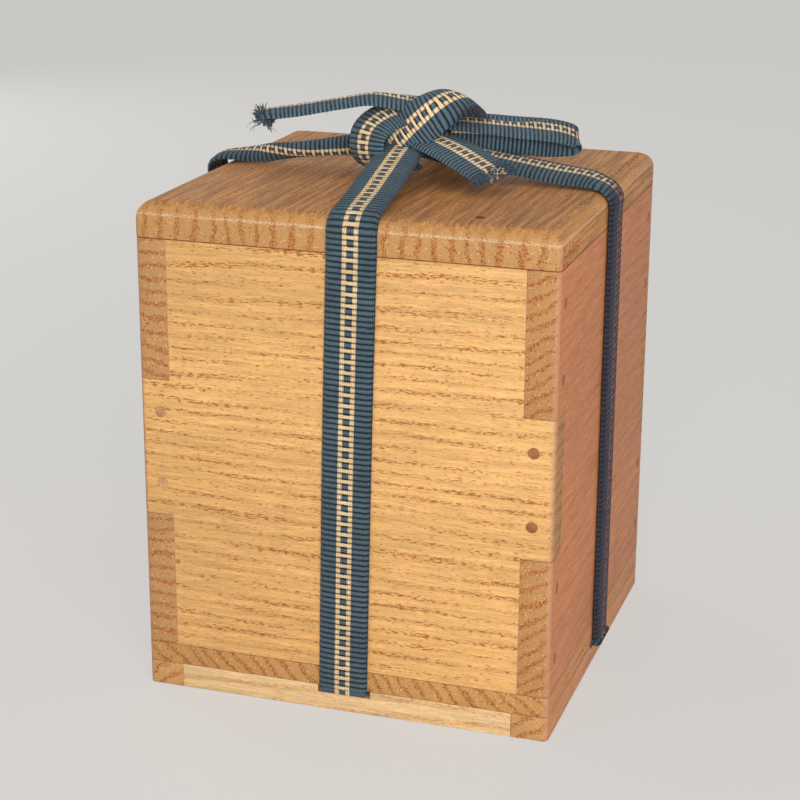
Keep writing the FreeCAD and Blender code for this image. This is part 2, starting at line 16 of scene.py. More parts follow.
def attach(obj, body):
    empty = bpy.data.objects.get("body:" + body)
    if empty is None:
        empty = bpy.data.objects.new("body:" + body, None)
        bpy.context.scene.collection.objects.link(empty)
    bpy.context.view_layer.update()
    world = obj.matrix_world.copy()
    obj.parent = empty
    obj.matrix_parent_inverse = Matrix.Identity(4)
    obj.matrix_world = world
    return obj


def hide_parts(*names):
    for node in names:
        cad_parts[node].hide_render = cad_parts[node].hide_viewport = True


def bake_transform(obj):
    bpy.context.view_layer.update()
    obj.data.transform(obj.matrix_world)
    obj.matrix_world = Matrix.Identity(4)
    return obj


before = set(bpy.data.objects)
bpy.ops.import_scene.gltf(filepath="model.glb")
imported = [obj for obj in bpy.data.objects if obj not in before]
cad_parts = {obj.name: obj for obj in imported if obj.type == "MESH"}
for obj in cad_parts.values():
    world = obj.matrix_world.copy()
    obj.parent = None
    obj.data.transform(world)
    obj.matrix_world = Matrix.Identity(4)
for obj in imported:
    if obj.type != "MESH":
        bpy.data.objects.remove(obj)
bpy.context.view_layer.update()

bl_info = {
    "name": "Corded tea caddy box",
    "version": (1, 0, 0),
    "blender": (4, 5, 0),
    "location": "View3D > Sidebar > Caddy box",
    "description": "Wooden box with its lid tied on by a woven cord, and a lacquer caddy in it",
    "category": "Object",
}

MM = 0.001
HALF = 50.0
WALL = 7.5
FINGER = 33.5
CORD_WIDTH = 12.0
RAIL_TOP = 6.0
WALL_BOTTOM = 11.0
WALL_TOP = WALL_BOTTOM + 3 * FINGER
LID_TOP = 120.0
# How far each side is turned from the front, and the way it lies from the middle
SIDES = {"front": (0, 0, -1), "back": (180, 0, 1), "left": (-90, -1, 0), "right": (90, 1, 0)}


def linear(text):
    """An sRGB hex colour as linear red, green, blue and alpha."""
    values = [int(text[i:i + 2], 16) / 255 for i in (1, 3, 5)]
    return tuple(v / 12.92 if v <= 0.04045 else ((v + 0.055) / 1.055) ** 2.4 for v in values) + (1.0,)


def colour(name, text, description):
    return FloatVectorProperty(name=name, description=description, subtype="COLOR", size=4,
                               min=0.0, max=1.0, default=linear(text))


def length(name, value, description):
    return FloatProperty(name=name, description=description, default=value * MM, unit="LENGTH",
                         subtype="DISTANCE", precision=5)


class WoodSettings(bpy.types.PropertyGroup):
    face: colour("Face grain", "#edb873", "Colour of the wood between the pores")
    late: colour("Porous wood", "#d89d5c", "Colour of the wood in the rows of pores")
    pore: colour("Pores", "#a5521a", "Colour of the pores")
    # The pale flecks are painted glints, highlight caught by the silky fibres
    painted_glint_colour: colour("Flecks", "#f7dfae", "Colour of the pale flecks")
    end: colour("End grain", "#cfa06c", "Colour of the wood across the grain")
    worn: colour("Worn corners", "#d0997a", "Colour of the rounded upright corners")
    peg: colour("Pegs", "#cb9668", "Colour of the paler wooden pegs, on the left")
    dark_peg: colour("Dark pegs", "#a96a3e", "Colour of the darker wooden pegs, on the right")
    # The joints' colour is painted shade in the gaps between the boards
    seam: colour("Joints", "#4f2a17", "Colour of the wood at the edges of the joints")
    ring: length("Ring spacing", 3.2, "Distance between two years' rings")
    ease: length("Eased edge", 0.14, "Rounding of the boards' sharp edges")
    corner: length("Corner", 1.3, "Rounding of the box's upright corners")
    lid_round: length("Lid rounding", 4.0, "Rounding along the top of the lid")


class CordSettings(bpy.types.PropertyGroup):
    # The ribs' colour carries a painted highlight and the grooves' colour painted shade
    lit_ridge: colour("Cord", "#566c78", "Colour of the cord's ribs")
    groove_shade: colour("Grooves", "#0f1a20", "Colour between the ribs")
    cream: colour("Cream thread", "#efcf9f", "Colour of the ladder's thread")
    width: length("Width", CORD_WIDTH, "Width of the flat cord")
    thick: length("Thickness", 1.2, "Thickness of the flat cord")
    rib: length("Rib spacing", 1.3, "Distance between two ribs")
    fibres: IntProperty(name="Loose fibres", description="Fine fibres that stand off the bow",
                        default=1500, min=0, max=5000)


class CaddySettings(bpy.types.PropertyGroup):
    lacquer: colour("Lacquer", "#0e0b0a", "Colour of the polished lacquer")


class BoxSettings(bpy.types.PropertyGroup):
    wood: PointerProperty(type=WoodSettings)
    cord: PointerProperty(type=CordSettings)
    caddy: PointerProperty(type=CaddySettings)


# Materials


def add_node(tree, kind, inputs=None, **settings):
    """Adds a node with its settings. An input is a number, a colour, a node or a socket."""
    node = tree.nodes.new("ShaderNode" + kind)
    for name, value in settings.items():
        setattr(node, name, value)
    for key, value in (inputs or {}).items():
        if isinstance(value, bpy.types.Node):
            value = next(socket for socket in value.outputs if socket.enabled)
        if isinstance(value, bpy.types.NodeSocket):
            tree.links.new(value, node.inputs[key])
        elif node.inputs[key].type == "VECTOR":
            node.inputs[key].default_value = value[:3]
        else:
            node.inputs[key].default_value = value
    return node


def new_material(name, viewport):
    material = bpy.data.materials.new(name)
    material.use_nodes = True
    material.diffuse_color = viewport
    tree = material.node_tree
    tree.nodes.clear()
    return material, tree


def paulownia(name, grain, heart, face=None, end=None, stain=0.9, streaks=0.11, ring=None, lid=False):
    """Planed paulownia, sawn near the quarter.

    Rows of short orange-brown pores follow each year's ring every few millimetres, on a pale
    honey ground of fine silky fibres with a few painted glints of highlight. Across the grain the pores are
    crowded dots in bands. Along the box's rounded corners the wood is worn pink.
    grain is the axis that the fibres follow. heart is the middle of the rings in millimetres,
    as the two other axes in the order x, y, z, and ring the spacing of the rings. stain and
    streaks set how strong the pores and the streaks are. The lid has a pin knot and a worn,
    golden rounded edge, partly painted highlight, with a thin painted highlight line along the rounding.
    """
    wood = bpy.context.scene.caddy_box.wood
    face = linear(face) if face else wood.face
    end = linear(end) if end else wood.end
    material, tree = new_material(name, face)
    place = add_node(tree, "TexCoord")
    rest = [axis for axis in "XYZ" if axis != grain]
    mm = add_node(tree, "VectorMath", {0: place.outputs["Object"], "Scale": 1 / MM}, operation="SCALE")
    axes = add_node(tree, "SeparateXYZ", {0: mm})
    along, first, second = (axes.outputs[axis] for axis in [grain] + rest)
    # Three maps of the board, each drawn out along the grain by its own share
    calm, stretched, drawn = (
        add_node(tree, "CombineXYZ", {
            0: add_node(tree, "Math", {0: along, 1: share}, operation="MULTIPLY"), 1: first, 2: second})
        for share in (0.2, 0.22, 0.05))

    # Rings round the tree's heart, wandering a little along the board
    wander = add_node(tree, "TexNoise", {"Vector": calm, "Scale": 0.045, "Detail": 2.0})
    shift = add_node(tree, "Math", {0: wander.outputs[0], 1: 10.0}, operation="MULTIPLY")
    quick = add_node(tree, "TexNoise", {"Vector": calm, "Scale": 0.5, "Detail": 3.0})
    ripple = add_node(tree, "Math", {0: quick.outputs[0], 1: 1.5, 2: shift}, operation="MULTIPLY_ADD")
    from_heart = add_node(tree, "CombineXYZ", {
        0: add_node(tree, "Math", {0: first, 1: heart[0]}, operation="SUBTRACT"),
        1: add_node(tree, "Math", {0: second, 1: heart[1]}, operation="SUBTRACT"), 2: 0.0})
    radius = add_node(tree, "VectorMath", {0: from_heart}, operation="LENGTH")
    ring_place = add_node(tree, "Math", {0: radius.outputs["Value"], 1: ripple}, operation="ADD")
    years = add_node(tree, "Math", {0: ring_place, 1: ring or wood.ring / MM}, operation="DIVIDE")
    year = add_node(tree, "Math", {0: years}, operation="FRACT")
    off_row = add_node(tree, "Math", {0: year, 1: 0.3}, operation="SUBTRACT")
    gap = add_node(tree, "Math", {0: off_row}, operation="ABSOLUTE")
    row = add_node(tree, "MapRange", {0: gap, 1: 0.06, 2: 0.27, 3: 1.0, 4: 0.0},
                   interpolation_type="SMOOTHSTEP")

    across = add_node(tree, "SeparateXYZ", {0: place.outputs["Normal"]})
    ends = add_node(tree, "Math", {0: across.outputs[grain]}, operation="ABSOLUTE")
    is_end = add_node(tree, "MapRange", {0: ends, 1: 0.5, 2: 0.8}, interpolation_type="SMOOTHSTEP")

    # Pores cut along their length: thin dashes a few millimetres long, crowded in the rows
    clump = add_node(tree, "TexNoise", {"Vector": calm, "Scale": 0.2, "Detail": 3.0})
    crowd = add_node(tree, "MapRange", {0: clump.outputs[0], 1: 0.38, 2: 0.62, 3: 0.15, 4: 1.0})
    share = add_node(tree, "Math", {0: row, 1: crowd}, operation="MULTIPLY")
    dash = add_node(tree, "TexNoise", {"Vector": stretched, "Scale": 3.0, "Detail": 3.0, "Roughness": 0.65})
    level = add_node(tree, "Math", {0: share, 1: -0.13, 2: 0.608}, operation="MULTIPLY_ADD")
    over = add_node(tree, "Math", {0: dash.outputs[0], 1: level}, operation="SUBTRACT")
    dashes = add_node(tree, "MapRange", {0: over, 1: 0.0, 2: 0.04}, interpolation_type="SMOOTHSTEP")
    # Painted glints: pale streaks of painted highlight where the dash noise is lowest
    painted_glint = add_node(tree, "MapRange", {0: dash.outputs[0], 1: 0.4, 2: 0.33},
                     interpolation_type="SMOOTHSTEP")

    # Pores cut across: round dots, a little over two to the millimetre, crowded in the bands
    dot_place = add_node(tree, "VectorMath", {0: mm, "Scale": 2.3}, operation="SCALE")
    cells = add_node(tree, "TexVoronoi", {"Vector": dot_place, "Scale": 1.0, "Randomness": 1.0})
    spot = add_node(tree, "MapRange", {0: cells.outputs["Distance"], 1: 0.32, 2: 0.52, 3: 1.0, 4: 0.0},
                    interpolation_type="SMOOTHSTEP")
    draw = add_node(tree, "SeparateColor", {0: cells.outputs["Color"]})
    chance = add_node(tree, "Math", {0: row, 1: 0.9, 2: 0.06}, operation="MULTIPLY_ADD")
    chosen = add_node(tree, "Math", {0: draw.outputs[0], 1: chance}, operation="LESS_THAN")
    dots = add_node(tree, "Math", {0: spot, 1: chosen}, operation="MULTIPLY")
    pores = add_node(tree, "Mix", {0: is_end, 2: dashes, 3: dots})
    lit = add_node(tree, "Math", {0: row, 1: 0.5, 2: 0.05}, operation="MULTIPLY_ADD")
    bright = add_node(tree, "Math", {0: draw.outputs[1], 1: lit}, operation="LESS_THAN")
    specks = add_node(tree, "Math", {0: spot, 1: bright}, operation="MULTIPLY")

    # Fibres: silky streaks that run the length of the board, in two widths
    fibre = add_node(tree, "TexNoise", {"Vector": drawn, "Scale": 3.4, "Detail": 4.0, "Roughness": 0.65})
    broad = add_node(tree, "TexNoise", {"Vector": drawn, "Scale": 0.8, "Detail": 3.0, "Roughness": 0.6})
    cloud = add_node(tree, "TexNoise", {"Vector": calm, "Scale": 0.05, "Detail": 2.0})
    fine = add_node(tree, "MapRange", {0: fibre.outputs[0], 1: 0.32, 2: 0.68, 3: 0.8, 4: 1.2})
    wide = add_node(tree, "MapRange", {0: broad.outputs[0], 1: 0.36, 2: 0.64,
                                       3: 1 - streaks, 4: 1 + streaks})
    side = add_node(tree, "Mix", {0: is_end, 2: wide, 3: 1.0})
    patch = add_node(tree, "MapRange", {0: cloud.outputs[0], 1: 0.3, 2: 0.7, 3: 0.94, 4: 1.06})
    streak = add_node(tree, "Math", {0: fine, 1: side}, operation="MULTIPLY")
    light = add_node(tree, "Math", {0: streak, 1: patch}, operation="MULTIPLY")

    half_row = add_node(tree, "Math", {0: row, 1: 0.35}, operation="MULTIPLY")
    painted_glint_share = add_node(tree, "Math", {0: painted_glint, 1: 0.55 * stain}, operation="MULTIPLY")
    ground = add_node(tree, "Mix", {0: half_row, 6: face, 7: wood.late}, data_type="RGBA")
    pale = add_node(tree, "Mix", {0: painted_glint_share, 6: ground, 7: wood.painted_glint_colour}, data_type="RGBA")
    tint = add_node(tree, "Math", {0: row, 1: 0.3}, operation="MULTIPLY")
    end_wood = add_node(tree, "Mix", {0: tint, 6: end, 7: wood.pore}, data_type="RGBA")
    speck = add_node(tree, "Math", {0: specks, 1: 0.8}, operation="MULTIPLY")
    dotted = add_node(tree, "Mix", {0: speck, 6: end_wood, 7: linear("#f0c078")}, data_type="RGBA")
    sawn = add_node(tree, "Mix", {0: is_end, 6: pale, 7: dotted}, data_type="RGBA")
    toned = add_node(tree, "VectorMath", {0: sawn, "Scale": light}, operation="SCALE")
    strength = add_node(tree, "MapRange", {0: is_end, 3: 0.88 * stain, 4: 1.0})
    marks = add_node(tree, "Math", {0: pores, 1: strength}, operation="MULTIPLY")
    stained = add_node(tree, "Mix", {0: marks, 6: toned, 7: wood.pore}, data_type="RGBA")

    # The rounded upright corners, where the surface faces between two sides
    corner = add_node(tree, "Math", {0: across.outputs[0], 1: across.outputs[1]}, operation="MULTIPLY")
    turned_edge = add_node(tree, "Math", {0: corner}, operation="ABSOLUTE")
    worn = add_node(tree, "MapRange", {0: turned_edge, 1: 0.15, 2: 0.42, 3: 0.0, 4: 0.6})
    colour_now = add_node(tree, "Mix", {0: worn, 6: stained, 7: wood.worn}, data_type="RGBA")
    up = across.outputs[2]
    if lid:
        # A dark pin knot, about 2 mm across, near the front edge
        knot = (29.2, -40.6, LID_TOP)
        apart = add_node(tree, "VectorMath", {0: mm, 1: knot}, operation="SUBTRACT")
        oval = add_node(tree, "VectorMath", {0: apart, 1: (1.0, 0.8, 0.4)}, operation="MULTIPLY")
        reach = add_node(tree, "VectorMath", {0: oval}, operation="LENGTH")
        pin = add_node(tree, "MapRange", {0: reach.outputs["Value"], 1: 0.7, 2: 1.3, 3: 0.92, 4: 0.0})
        colour_now = add_node(tree, "Mix", {0: pin, 6: colour_now, 7: linear("#3d1d0e")},
                              data_type="RGBA")
        grit = add_node(tree, "TexNoise", {"Vector": mm, "Scale": 2.6, "Detail": 2.0})
        # Rubbed golden along the rounding, partly a painted highlight, and a thin painted highlight line,
        # each by how far the wood faces up
        bands = (
            # First the golden band, worn wood with painted highlight, then the thin line, all painted
            # highlight
            ("#dda560", 0.1, 0.45, 0.78, 0.985, 0.46, 0.6),
            ("#f5e2c4", 0.27, 0.3, 0.36, 0.39, 0.42, 0.65),
        )
        for shade, begins, full, fades, gone, least, most in bands:
            band = add_node(tree, "Math", {
                0: add_node(tree, "MapRange", {0: up, 1: begins, 2: full}),
                1: add_node(tree, "MapRange", {0: up, 1: fades, 2: gone, 3: 1.0, 4: 0.0})},
                operation="MULTIPLY")
            wear_and_highlight_patches = add_node(tree, "MapRange", {0: grit, 1: least, 2: 0.58, 3: 0.1, 4: most})
            share = add_node(tree, "Math", {0: band, 1: wear_and_highlight_patches}, operation="MULTIPLY")
            colour_now = add_node(tree, "Mix", {0: share, 6: colour_now, 7: linear(shade)},
                                  data_type="RGBA")

    # The joints: painted shade in the gaps, dark at the eased edges that face down, and on the walls also
    # up
    tilt = add_node(tree, "Math", {0: up, 1: -1.0}, operation="MULTIPLY")
    if not lid:
        tilt = add_node(tree, "Math", {0: up}, operation="ABSOLUTE")
    seam = add_node(tree, "Math", {
        0: add_node(tree, "MapRange", {0: tilt, 1: 0.2, 2: 0.35, 3: 0.0, 4: 0.85 if lid else 0.5}),
        1: add_node(tree, "MapRange", {0: tilt, 1: 0.93, 2: 0.99, 3: 1.0, 4: 0.0})}, operation="MULTIPLY")
    colour_now = add_node(tree, "Mix", {0: seam, 6: colour_now, 7: wood.seam}, data_type="RGBA")

    depth = add_node(tree, "Math", {0: fibre.outputs[0], 1: 0.5}, operation="MULTIPLY")
    height = add_node(tree, "Math", {0: depth, 1: pores}, operation="SUBTRACT")
    bump = add_node(tree, "Bump", {"Strength": 0.4, "Distance": 0.00012, "Height": height})
    gloss = add_node(tree, "MapRange", {0: pores, 3: 0.56, 4: 0.8})
    shader = add_node(tree, "BsdfPrincipled", {"Base Color": colour_now, "Roughness": gloss,
                                               "Normal": bump, "IOR": 1.5, "Specular IOR Level": 0.3})
    add_node(tree, "OutputMaterial", {0: shader})
    return material


def peg_wood():
    """Split hardwood pegs cut flush: round spots of end grain with fine dots.

    They have darkened more towards the box's right side.
    """
    wood = bpy.context.scene.caddy_box.wood
    material, tree = new_material("utsugi_peg_wood", wood.peg)
    place = add_node(tree, "TexCoord")
    mm = add_node(tree, "VectorMath", {0: place.outputs["Object"], "Scale": 1 / MM}, operation="SCALE")
    dots = add_node(tree, "TexVoronoi", {"Vector": mm, "Scale": 3.0})
    cloud = add_node(tree, "TexNoise", {"Vector": mm, "Scale": 0.35, "Detail": 3.0})
    shade = add_node(tree, "MapRange", {0: dots.outputs["Distance"], 1: 0.1, 2: 0.6, 3: 0.72, 4: 1.05})
    patch = add_node(tree, "MapRange", {0: cloud.outputs[0], 1: 0.3, 2: 0.7, 3: 0.7, 4: 1.3})
    light = add_node(tree, "Math", {0: shade, 1: patch}, operation="MULTIPLY")
    axes = add_node(tree, "SeparateXYZ", {0: mm})
    side = add_node(tree, "MapRange", {0: axes, 1: -20.0, 2: 20.0})
    tone = add_node(tree, "Mix", {0: side, 6: wood.peg, 7: wood.dark_peg}, data_type="RGBA")
    toned = add_node(tree, "VectorMath", {0: tone, "Scale": light}, operation="SCALE")
    bump = add_node(tree, "Bump", {"Strength": 0.3, "Distance": 0.0001, "Height": dots.outputs["Distance"]})
    shader = add_node(tree, "BsdfPrincipled", {"Base Color": toned, "Roughness": 0.6, "Normal": bump})
    add_node(tree, "OutputMaterial", {0: shader})
    return material


def woven_cord():
    """Flat cotton cord with ribs across it and a cream ladder woven along its middle.

    The rib crests carry a painted highlight and the grooves between them painted shade. Each rib is a row
    of short yarn floats, each with painted shade at its sides, blurred by soft fluff. The map of a cord
    piece is in millimetres: u across, v along.
    """
    cord = bpy.context.scene.caddy_box.cord
    material, tree = new_material("ribbed_cotton_cord", cord.lit_ridge)
    weave = add_node(tree, "UVMap", uv_map="weave")
    axes = add_node(tree, "SeparateXYZ", {0: weave})
    u, v = axes.outputs[0], axes.outputs[1]
    loose = add_node(tree, "TexNoise", {"Vector": weave, "Scale": 0.9, "Detail": 3.0})
    stray = add_node(tree, "Math", {0: loose.outputs[0], 1: 0.36, 2: -0.18}, operation="MULTIPLY_ADD")
    v_stray = add_node(tree, "Math", {0: stray, 1: v}, operation="ADD")
    count = add_node(tree, "Math", {0: v_stray, 1: cord.rib / MM}, operation="DIVIDE")
    row = add_node(tree, "Math", {0: count}, operation="FLOOR")

    # Yarn floats 0.42 mm wide, each row set half a yarn over
    offset = add_node(tree, "Math", {0: row, 1: 0.5}, operation="MULTIPLY")
    yarns = add_node(tree, "Math", {0: u, 1: 1 / 0.42, 2: offset}, operation="MULTIPLY_ADD")
    lean = add_node(tree, "Math", {0: count, 1: 0.55, 2: yarns}, operation="MULTIPLY_ADD")
    humps = []
    for turns in (count, lean):
        turn = add_node(tree, "Math", {0: turns, 1: math.pi}, operation="MULTIPLY")
        sine = add_node(tree, "Math", {0: turn}, operation="SINE")
        humps.append(add_node(tree, "Math", {0: sine}, operation="ABSOLUTE"))
    wave, yarn = humps
    rib = add_node(tree, "Math", {0: wave, 1: 1.2}, operation="POWER")

    # The ladder: two rails, with a rung on every second rib
    side = add_node(tree, "Math", {0: u, 1: 0.5 * cord.width / MM}, operation="SUBTRACT")
    u_stray = add_node(tree, "Math", {0: stray, 1: 0.7, 2: side}, operation="MULTIPLY_ADD")
    off = add_node(tree, "Math", {0: u_stray}, operation="ABSOLUTE")
    within = add_node(tree, "MapRange", {0: off, 1: 1.75, 2: 1.95, 3: 1.0, 4: 0.0})
    rail = add_node(tree, "MapRange", {0: off, 1: 0.72, 2: 0.95})
    pair = add_node(tree, "Math", {0: row, 1: 2.0}, operation="FLOORED_MODULO")
    rung_row = add_node(tree, "Math", {0: pair, 1: 0.5}, operation="LESS_THAN")
    rung = add_node(tree, "Math", {0: rung_row, 1: add_node(tree, "MapRange", {0: rib, 1: 0.38, 2: 0.62})},
                    operation="MULTIPLY")
    either = add_node(tree, "Math", {0: rail, 1: rung}, operation="MAXIMUM")
    ladder = add_node(tree, "Math", {0: either, 1: within}, operation="MULTIPLY")

    fluff = add_node(tree, "TexNoise", {"Vector": weave, "Scale": 5.0, "Detail": 4.0, "Roughness": 0.7})
    fade = add_node(tree, "TexNoise", {"Vector": weave, "Scale": 0.12, "Detail": 2.0})
    # Fluff tones the yarns at random, and each yarn float gets painted shade at its sides and a painted
    # highlight on its crown
    light = add_node(tree, "Math", {
        0: add_node(tree, "MapRange", {0: fluff.outputs[0], 1: 0.32, 2: 0.68, 3: 0.5, 4: 1.5}),
        1: add_node(tree, "MapRange", {0: yarn, 3: 0.6, 4: 1.2})}, operation="MULTIPLY")
    worn = add_node(tree, "Math", {
        0: light, 1: add_node(tree, "MapRange", {0: fade.outputs[0], 1: 0.3, 2: 0.7, 3: 0.86, 4: 1.14})},
        operation="MULTIPLY")
    # Painted highlight on the rib crests and painted shade in the grooves between them
    rib_highlight_share = add_node(tree, "MapRange", {0: rib, 1: 0.1, 2: 0.95})
    ground = add_node(tree, "Mix", {0: rib_highlight_share, 6: cord.groove_shade, 7: cord.lit_ridge}, data_type="RGBA")
    shadow = add_node(tree, "MapRange", {0: rib, 1: 0.08, 2: 0.65, 3: 0.22, 4: 1.08})
    cream = add_node(tree, "VectorMath", {0: cord.cream, "Scale": shadow}, operation="SCALE")
    mixed = add_node(tree, "Mix", {0: ladder, 6: ground, 7: cream}, data_type="RGBA")
    toned = add_node(tree, "VectorMath", {0: mixed, "Scale": worn}, operation="SCALE")

    # Paler on the bow, above the lid, and painted shade, darker and purple, where the cord faces the box's
    # right side
    place = add_node(tree, "TexCoord")
    height = add_node(tree, "SeparateXYZ", {0: place.outputs["Object"]})
    paler = add_node(tree, "MapRange", {0: height.outputs[2], 1: 0.12, 2: 0.128, 3: 1.0, 4: 1.42})
    toned = add_node(tree, "VectorMath", {0: toned, "Scale": paler}, operation="SCALE")
    # Painted shade: darker and purple where the cord faces +X
    facing = add_node(tree, "SeparateXYZ", {0: place.outputs["Normal"]})
    painted_shade_right = add_node(tree, "MapRange", {0: facing, 1: 0.45, 2: 0.8})
    toned = add_node(tree, "Mix", {0: painted_shade_right, 6: toned, 7: linear("#8d6c90")}, data_type="RGBA",
                     blend_type="MULTIPLY")

    yarn_height = add_node(tree, "Math", {0: yarn, 1: 0.45}, operation="MULTIPLY")
    raised = add_node(tree, "Math", {0: ladder, 1: 0.35, 2: yarn_height}, operation="MULTIPLY_ADD")
    full = add_node(tree, "Math", {0: rib, 1: 0.8, 2: raised}, operation="MULTIPLY_ADD")
    fuzzy = add_node(tree, "Math", {0: fluff.outputs[0], 1: 0.5, 2: full}, operation="MULTIPLY_ADD")
    bump = add_node(tree, "Bump", {"Strength": 0.9, "Distance": 0.00022, "Height": fuzzy})
    shader = add_node(tree, "BsdfPrincipled", {"Base Color": toned, "Roughness": 0.85, "Normal": bump,
                                               "Sheen Weight": 0.12, "Sheen Roughness": 0.5,
                                               "Specular IOR Level": 0.25})
    add_node(tree, "OutputMaterial", {0: shader})
    return material


def thread(name, shade):
    """Loose cotton yarn from the cord's cut ends and worn edges, matt and soft."""
    material, tree = new_material(name, shade)
    place = add_node(tree, "TexCoord")
    tufts = add_node(tree, "TexNoise", {"Vector": place.outputs["Object"], "Scale": 900.0, "Detail": 2.0})
    light = add_node(tree, "MapRange", {0: tufts.outputs[0], 1: 0.3, 2: 0.7, 3: 0.7, 4: 1.25})
    toned = add_node(tree, "VectorMath", {0: shade, "Scale": light}, operation="SCALE")
    shader = add_node(tree, "BsdfPrincipled", {"Base Color": toned, "Roughness": 0.9,
                                               "Sheen Weight": 0.4, "Specular IOR Level": 0.2})
    add_node(tree, "OutputMaterial", {0: shader})
    return material


def urushi(name, shade, gloss):
    """Black lacquer rubbed to a mirror: deep, even and wet looking, with a faint waviness."""
    material, tree = new_material(name, shade)
    place = add_node(tree, "TexCoord")
    cloud = add_node(tree, "TexNoise", {"Vector": place.outputs["Object"], "Scale": 60.0, "Detail": 3.0})
    skin = add_node(tree, "TexNoise", {"Vector": place.outputs["Object"], "Scale": 900.0, "Detail": 2.0})
    polish = add_node(tree, "MapRange", {0: cloud.outputs[0], 1: 0.3, 2: 0.7, 3: gloss, 4: gloss + 0.06})
    light = add_node(tree, "MapRange", {0: cloud.outputs[0], 1: 0.3, 2: 0.7, 3: 0.85, 4: 1.2})
    toned = add_node(tree, "VectorMath", {0: shade, "Scale": light}, operation="SCALE")
    bump = add_node(tree, "Bump", {"Strength": 0.08, "Distance": 0.00005, "Height": skin.outputs[0]})
    shader = add_node(tree, "BsdfPrincipled", {"Base Color": toned, "Roughness": polish, "Normal": bump,
                                               "IOR": 1.54, "Coat Weight": 0.8, "Coat Roughness": 0.03})
    add_node(tree, "OutputMaterial", {0: shader})
    return material


def pale_stage():
    """Matt paper sweep, lifted a little where the camera sees it, with the object's shadow kept."""
    material, tree = new_material("matt_paper", linear("#dcdad6"))
    place = add_node(tree, "TexCoord")
    fibre = add_node(tree, "TexNoise", {"Vector": place.outputs["Object"], "Scale": 400.0, "Detail": 2.0})
    tone = add_node(tree, "Mix", {0: fibre.outputs[0], 6: linear("#dddbd7"), 7: linear("#e2e0dc")},
                    data_type="RGBA")
    paper = add_node(tree, "BsdfPrincipled", {"Base Color": tone, "Roughness": 0.9,
                                              "Specular IOR Level": 0.1})
    glow = add_node(tree, "Emission", {"Color": linear("#e6e4e0"), "Strength": 1.0})
    path = add_node(tree, "LightPath")
    seen = add_node(tree, "Math", {0: path.outputs["Is Camera Ray"], 1: path.outputs["Is Glossy Ray"]},
                    operation="MAXIMUM")
    part = add_node(tree, "Math", {0: seen, 1: 0.62}, operation="MULTIPLY")
    both = add_node(tree, "MixShader", {0: part, 1: paper, 2: glow})
    add_node(tree, "OutputMaterial", {0: both})
    return material


# Meshes


def finish_mesh(name, bm, material, smooth=35.0):
    """Turns a bmesh in millimetres into an object at the origin, in metres."""
    bmesh.ops.scale(bm, vec=(MM, MM, MM), verts=bm.verts)
    mesh = bpy.data.meshes.new(name)
    bm.to_mesh(mesh)
    bm.free()
    obj = bpy.data.objects.new(name, mesh)
    bpy.context.scene.collection.objects.link(obj)
    mesh.materials.append(material)
    for polygon in mesh.polygons:
        # Wide flat faces stay flat, so the eased edges beside them don't shade them
        polygon.use_smooth = polygon.area < 1e-4
    mesh.set_sharp_from_angle(angle=math.radians(smooth))
    return obj


def dress(obj, body):
    """Puts a piece on the CAD body it rides on."""
    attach(obj, body)


def fitted(name, bm, material, body, smooth=35.0):
    """A finished piece on its body, in place of the CAD node of the same name."""
    obj = finish_mesh(name + "_piece", bm, material, smooth)
    dress(obj, body)
    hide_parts(name)


def slab(corners, depth):
    """A board from its outline in the XZ plane, from y = 0 to y = depth."""
    bm = bmesh.new()
    face = bm.faces.new([bm.verts.new((x, 0.0, z)) for x, z in corners])
    grown = bmesh.ops.extrude_face_region(bm, geom=[face])["geom"]
    verts = [item for item in grown if isinstance(item, bmesh.types.BMVert)]
    bmesh.ops.translate(bm, vec=(0.0, depth, 0.0), verts=verts)
    bmesh.ops.recalc_face_normals(bm, faces=bm.faces)
    return bm


def ease(bm, edges, width, segments=2):
    """Rounds edges off by width."""
    bmesh.ops.bevel(bm, geom=list(edges), offset=width, offset_type="OFFSET", segments=segments,
                    profile=0.5, affect="EDGES", material=-1, clamp_overlap=True)


def upright(edge):
    """Whether an edge stands straight up."""
    return (edge.verts[0].co - edge.verts[1].co).cross(Vector((0, 0, 1))).length < 1e-4


def sharp(bm, angle=50.0):
    """The edges where two faces meet at more than angle degrees."""
    return [e for e in bm.edges if e.is_manifold and e.calc_face_angle(0.0) > math.radians(angle)]


def to_side(bm, side, out, height):
    """Turns a shape made at the middle of the front and moves it out to its side of the box."""
    degrees, x, y = SIDES[side]
    bmesh.ops.rotate(bm, cent=(0, 0, 0), matrix=Matrix.Rotation(math.radians(degrees), 3, "Z"),
                     verts=bm.verts)
    bmesh.ops.translate(bm, vec=(x * out, y * out, height), verts=bm.verts)


def wall_outline(first):
    """Half the fingers reach the corners: the one numbered first and every second one after it."""
    right = []
    for k in range(3):
        reach = HALF if k % 2 == first else HALF - WALL
        right += [(reach, k * FINGER), (reach, (k + 1) * FINGER)]
    return right + [(-x, z) for x, z in reversed(right)]


def board(name, corners, depth, side, height, material, rounded=True):
    """A flat board of the box with eased edges, and rounded outer corners where it reaches them."""
    wood = bpy.context.scene.caddy_box.wood
    bm = slab(corners, depth)
    reach = max(x for x, z in corners)
    if rounded:
        outer = [e for e in bm.edges if upright(e) and abs(abs(e.verts[0].co.x) - reach) < 1e-3
                 and abs(e.verts[0].co.y) < 1e-3]
        ease(bm, outer, wood.corner / MM, 4)
    ease(bm, sharp(bm), wood.ease / MM)
    to_side(bm, side, HALF, height)
    fitted(name, bm, material, "box")


def block(low, high):
    """A plain block between two opposite corners."""
    bm = bmesh.new()
    bmesh.ops.create_cube(bm, size=1.0)
    size = Vector(high) - Vector(low)
    bmesh.ops.scale(bm, vec=size, verts=bm.verts)
    bmesh.ops.translate(bm, vec=(Vector(high) + Vector(low)) / 2, verts=bm.verts)
    return bm


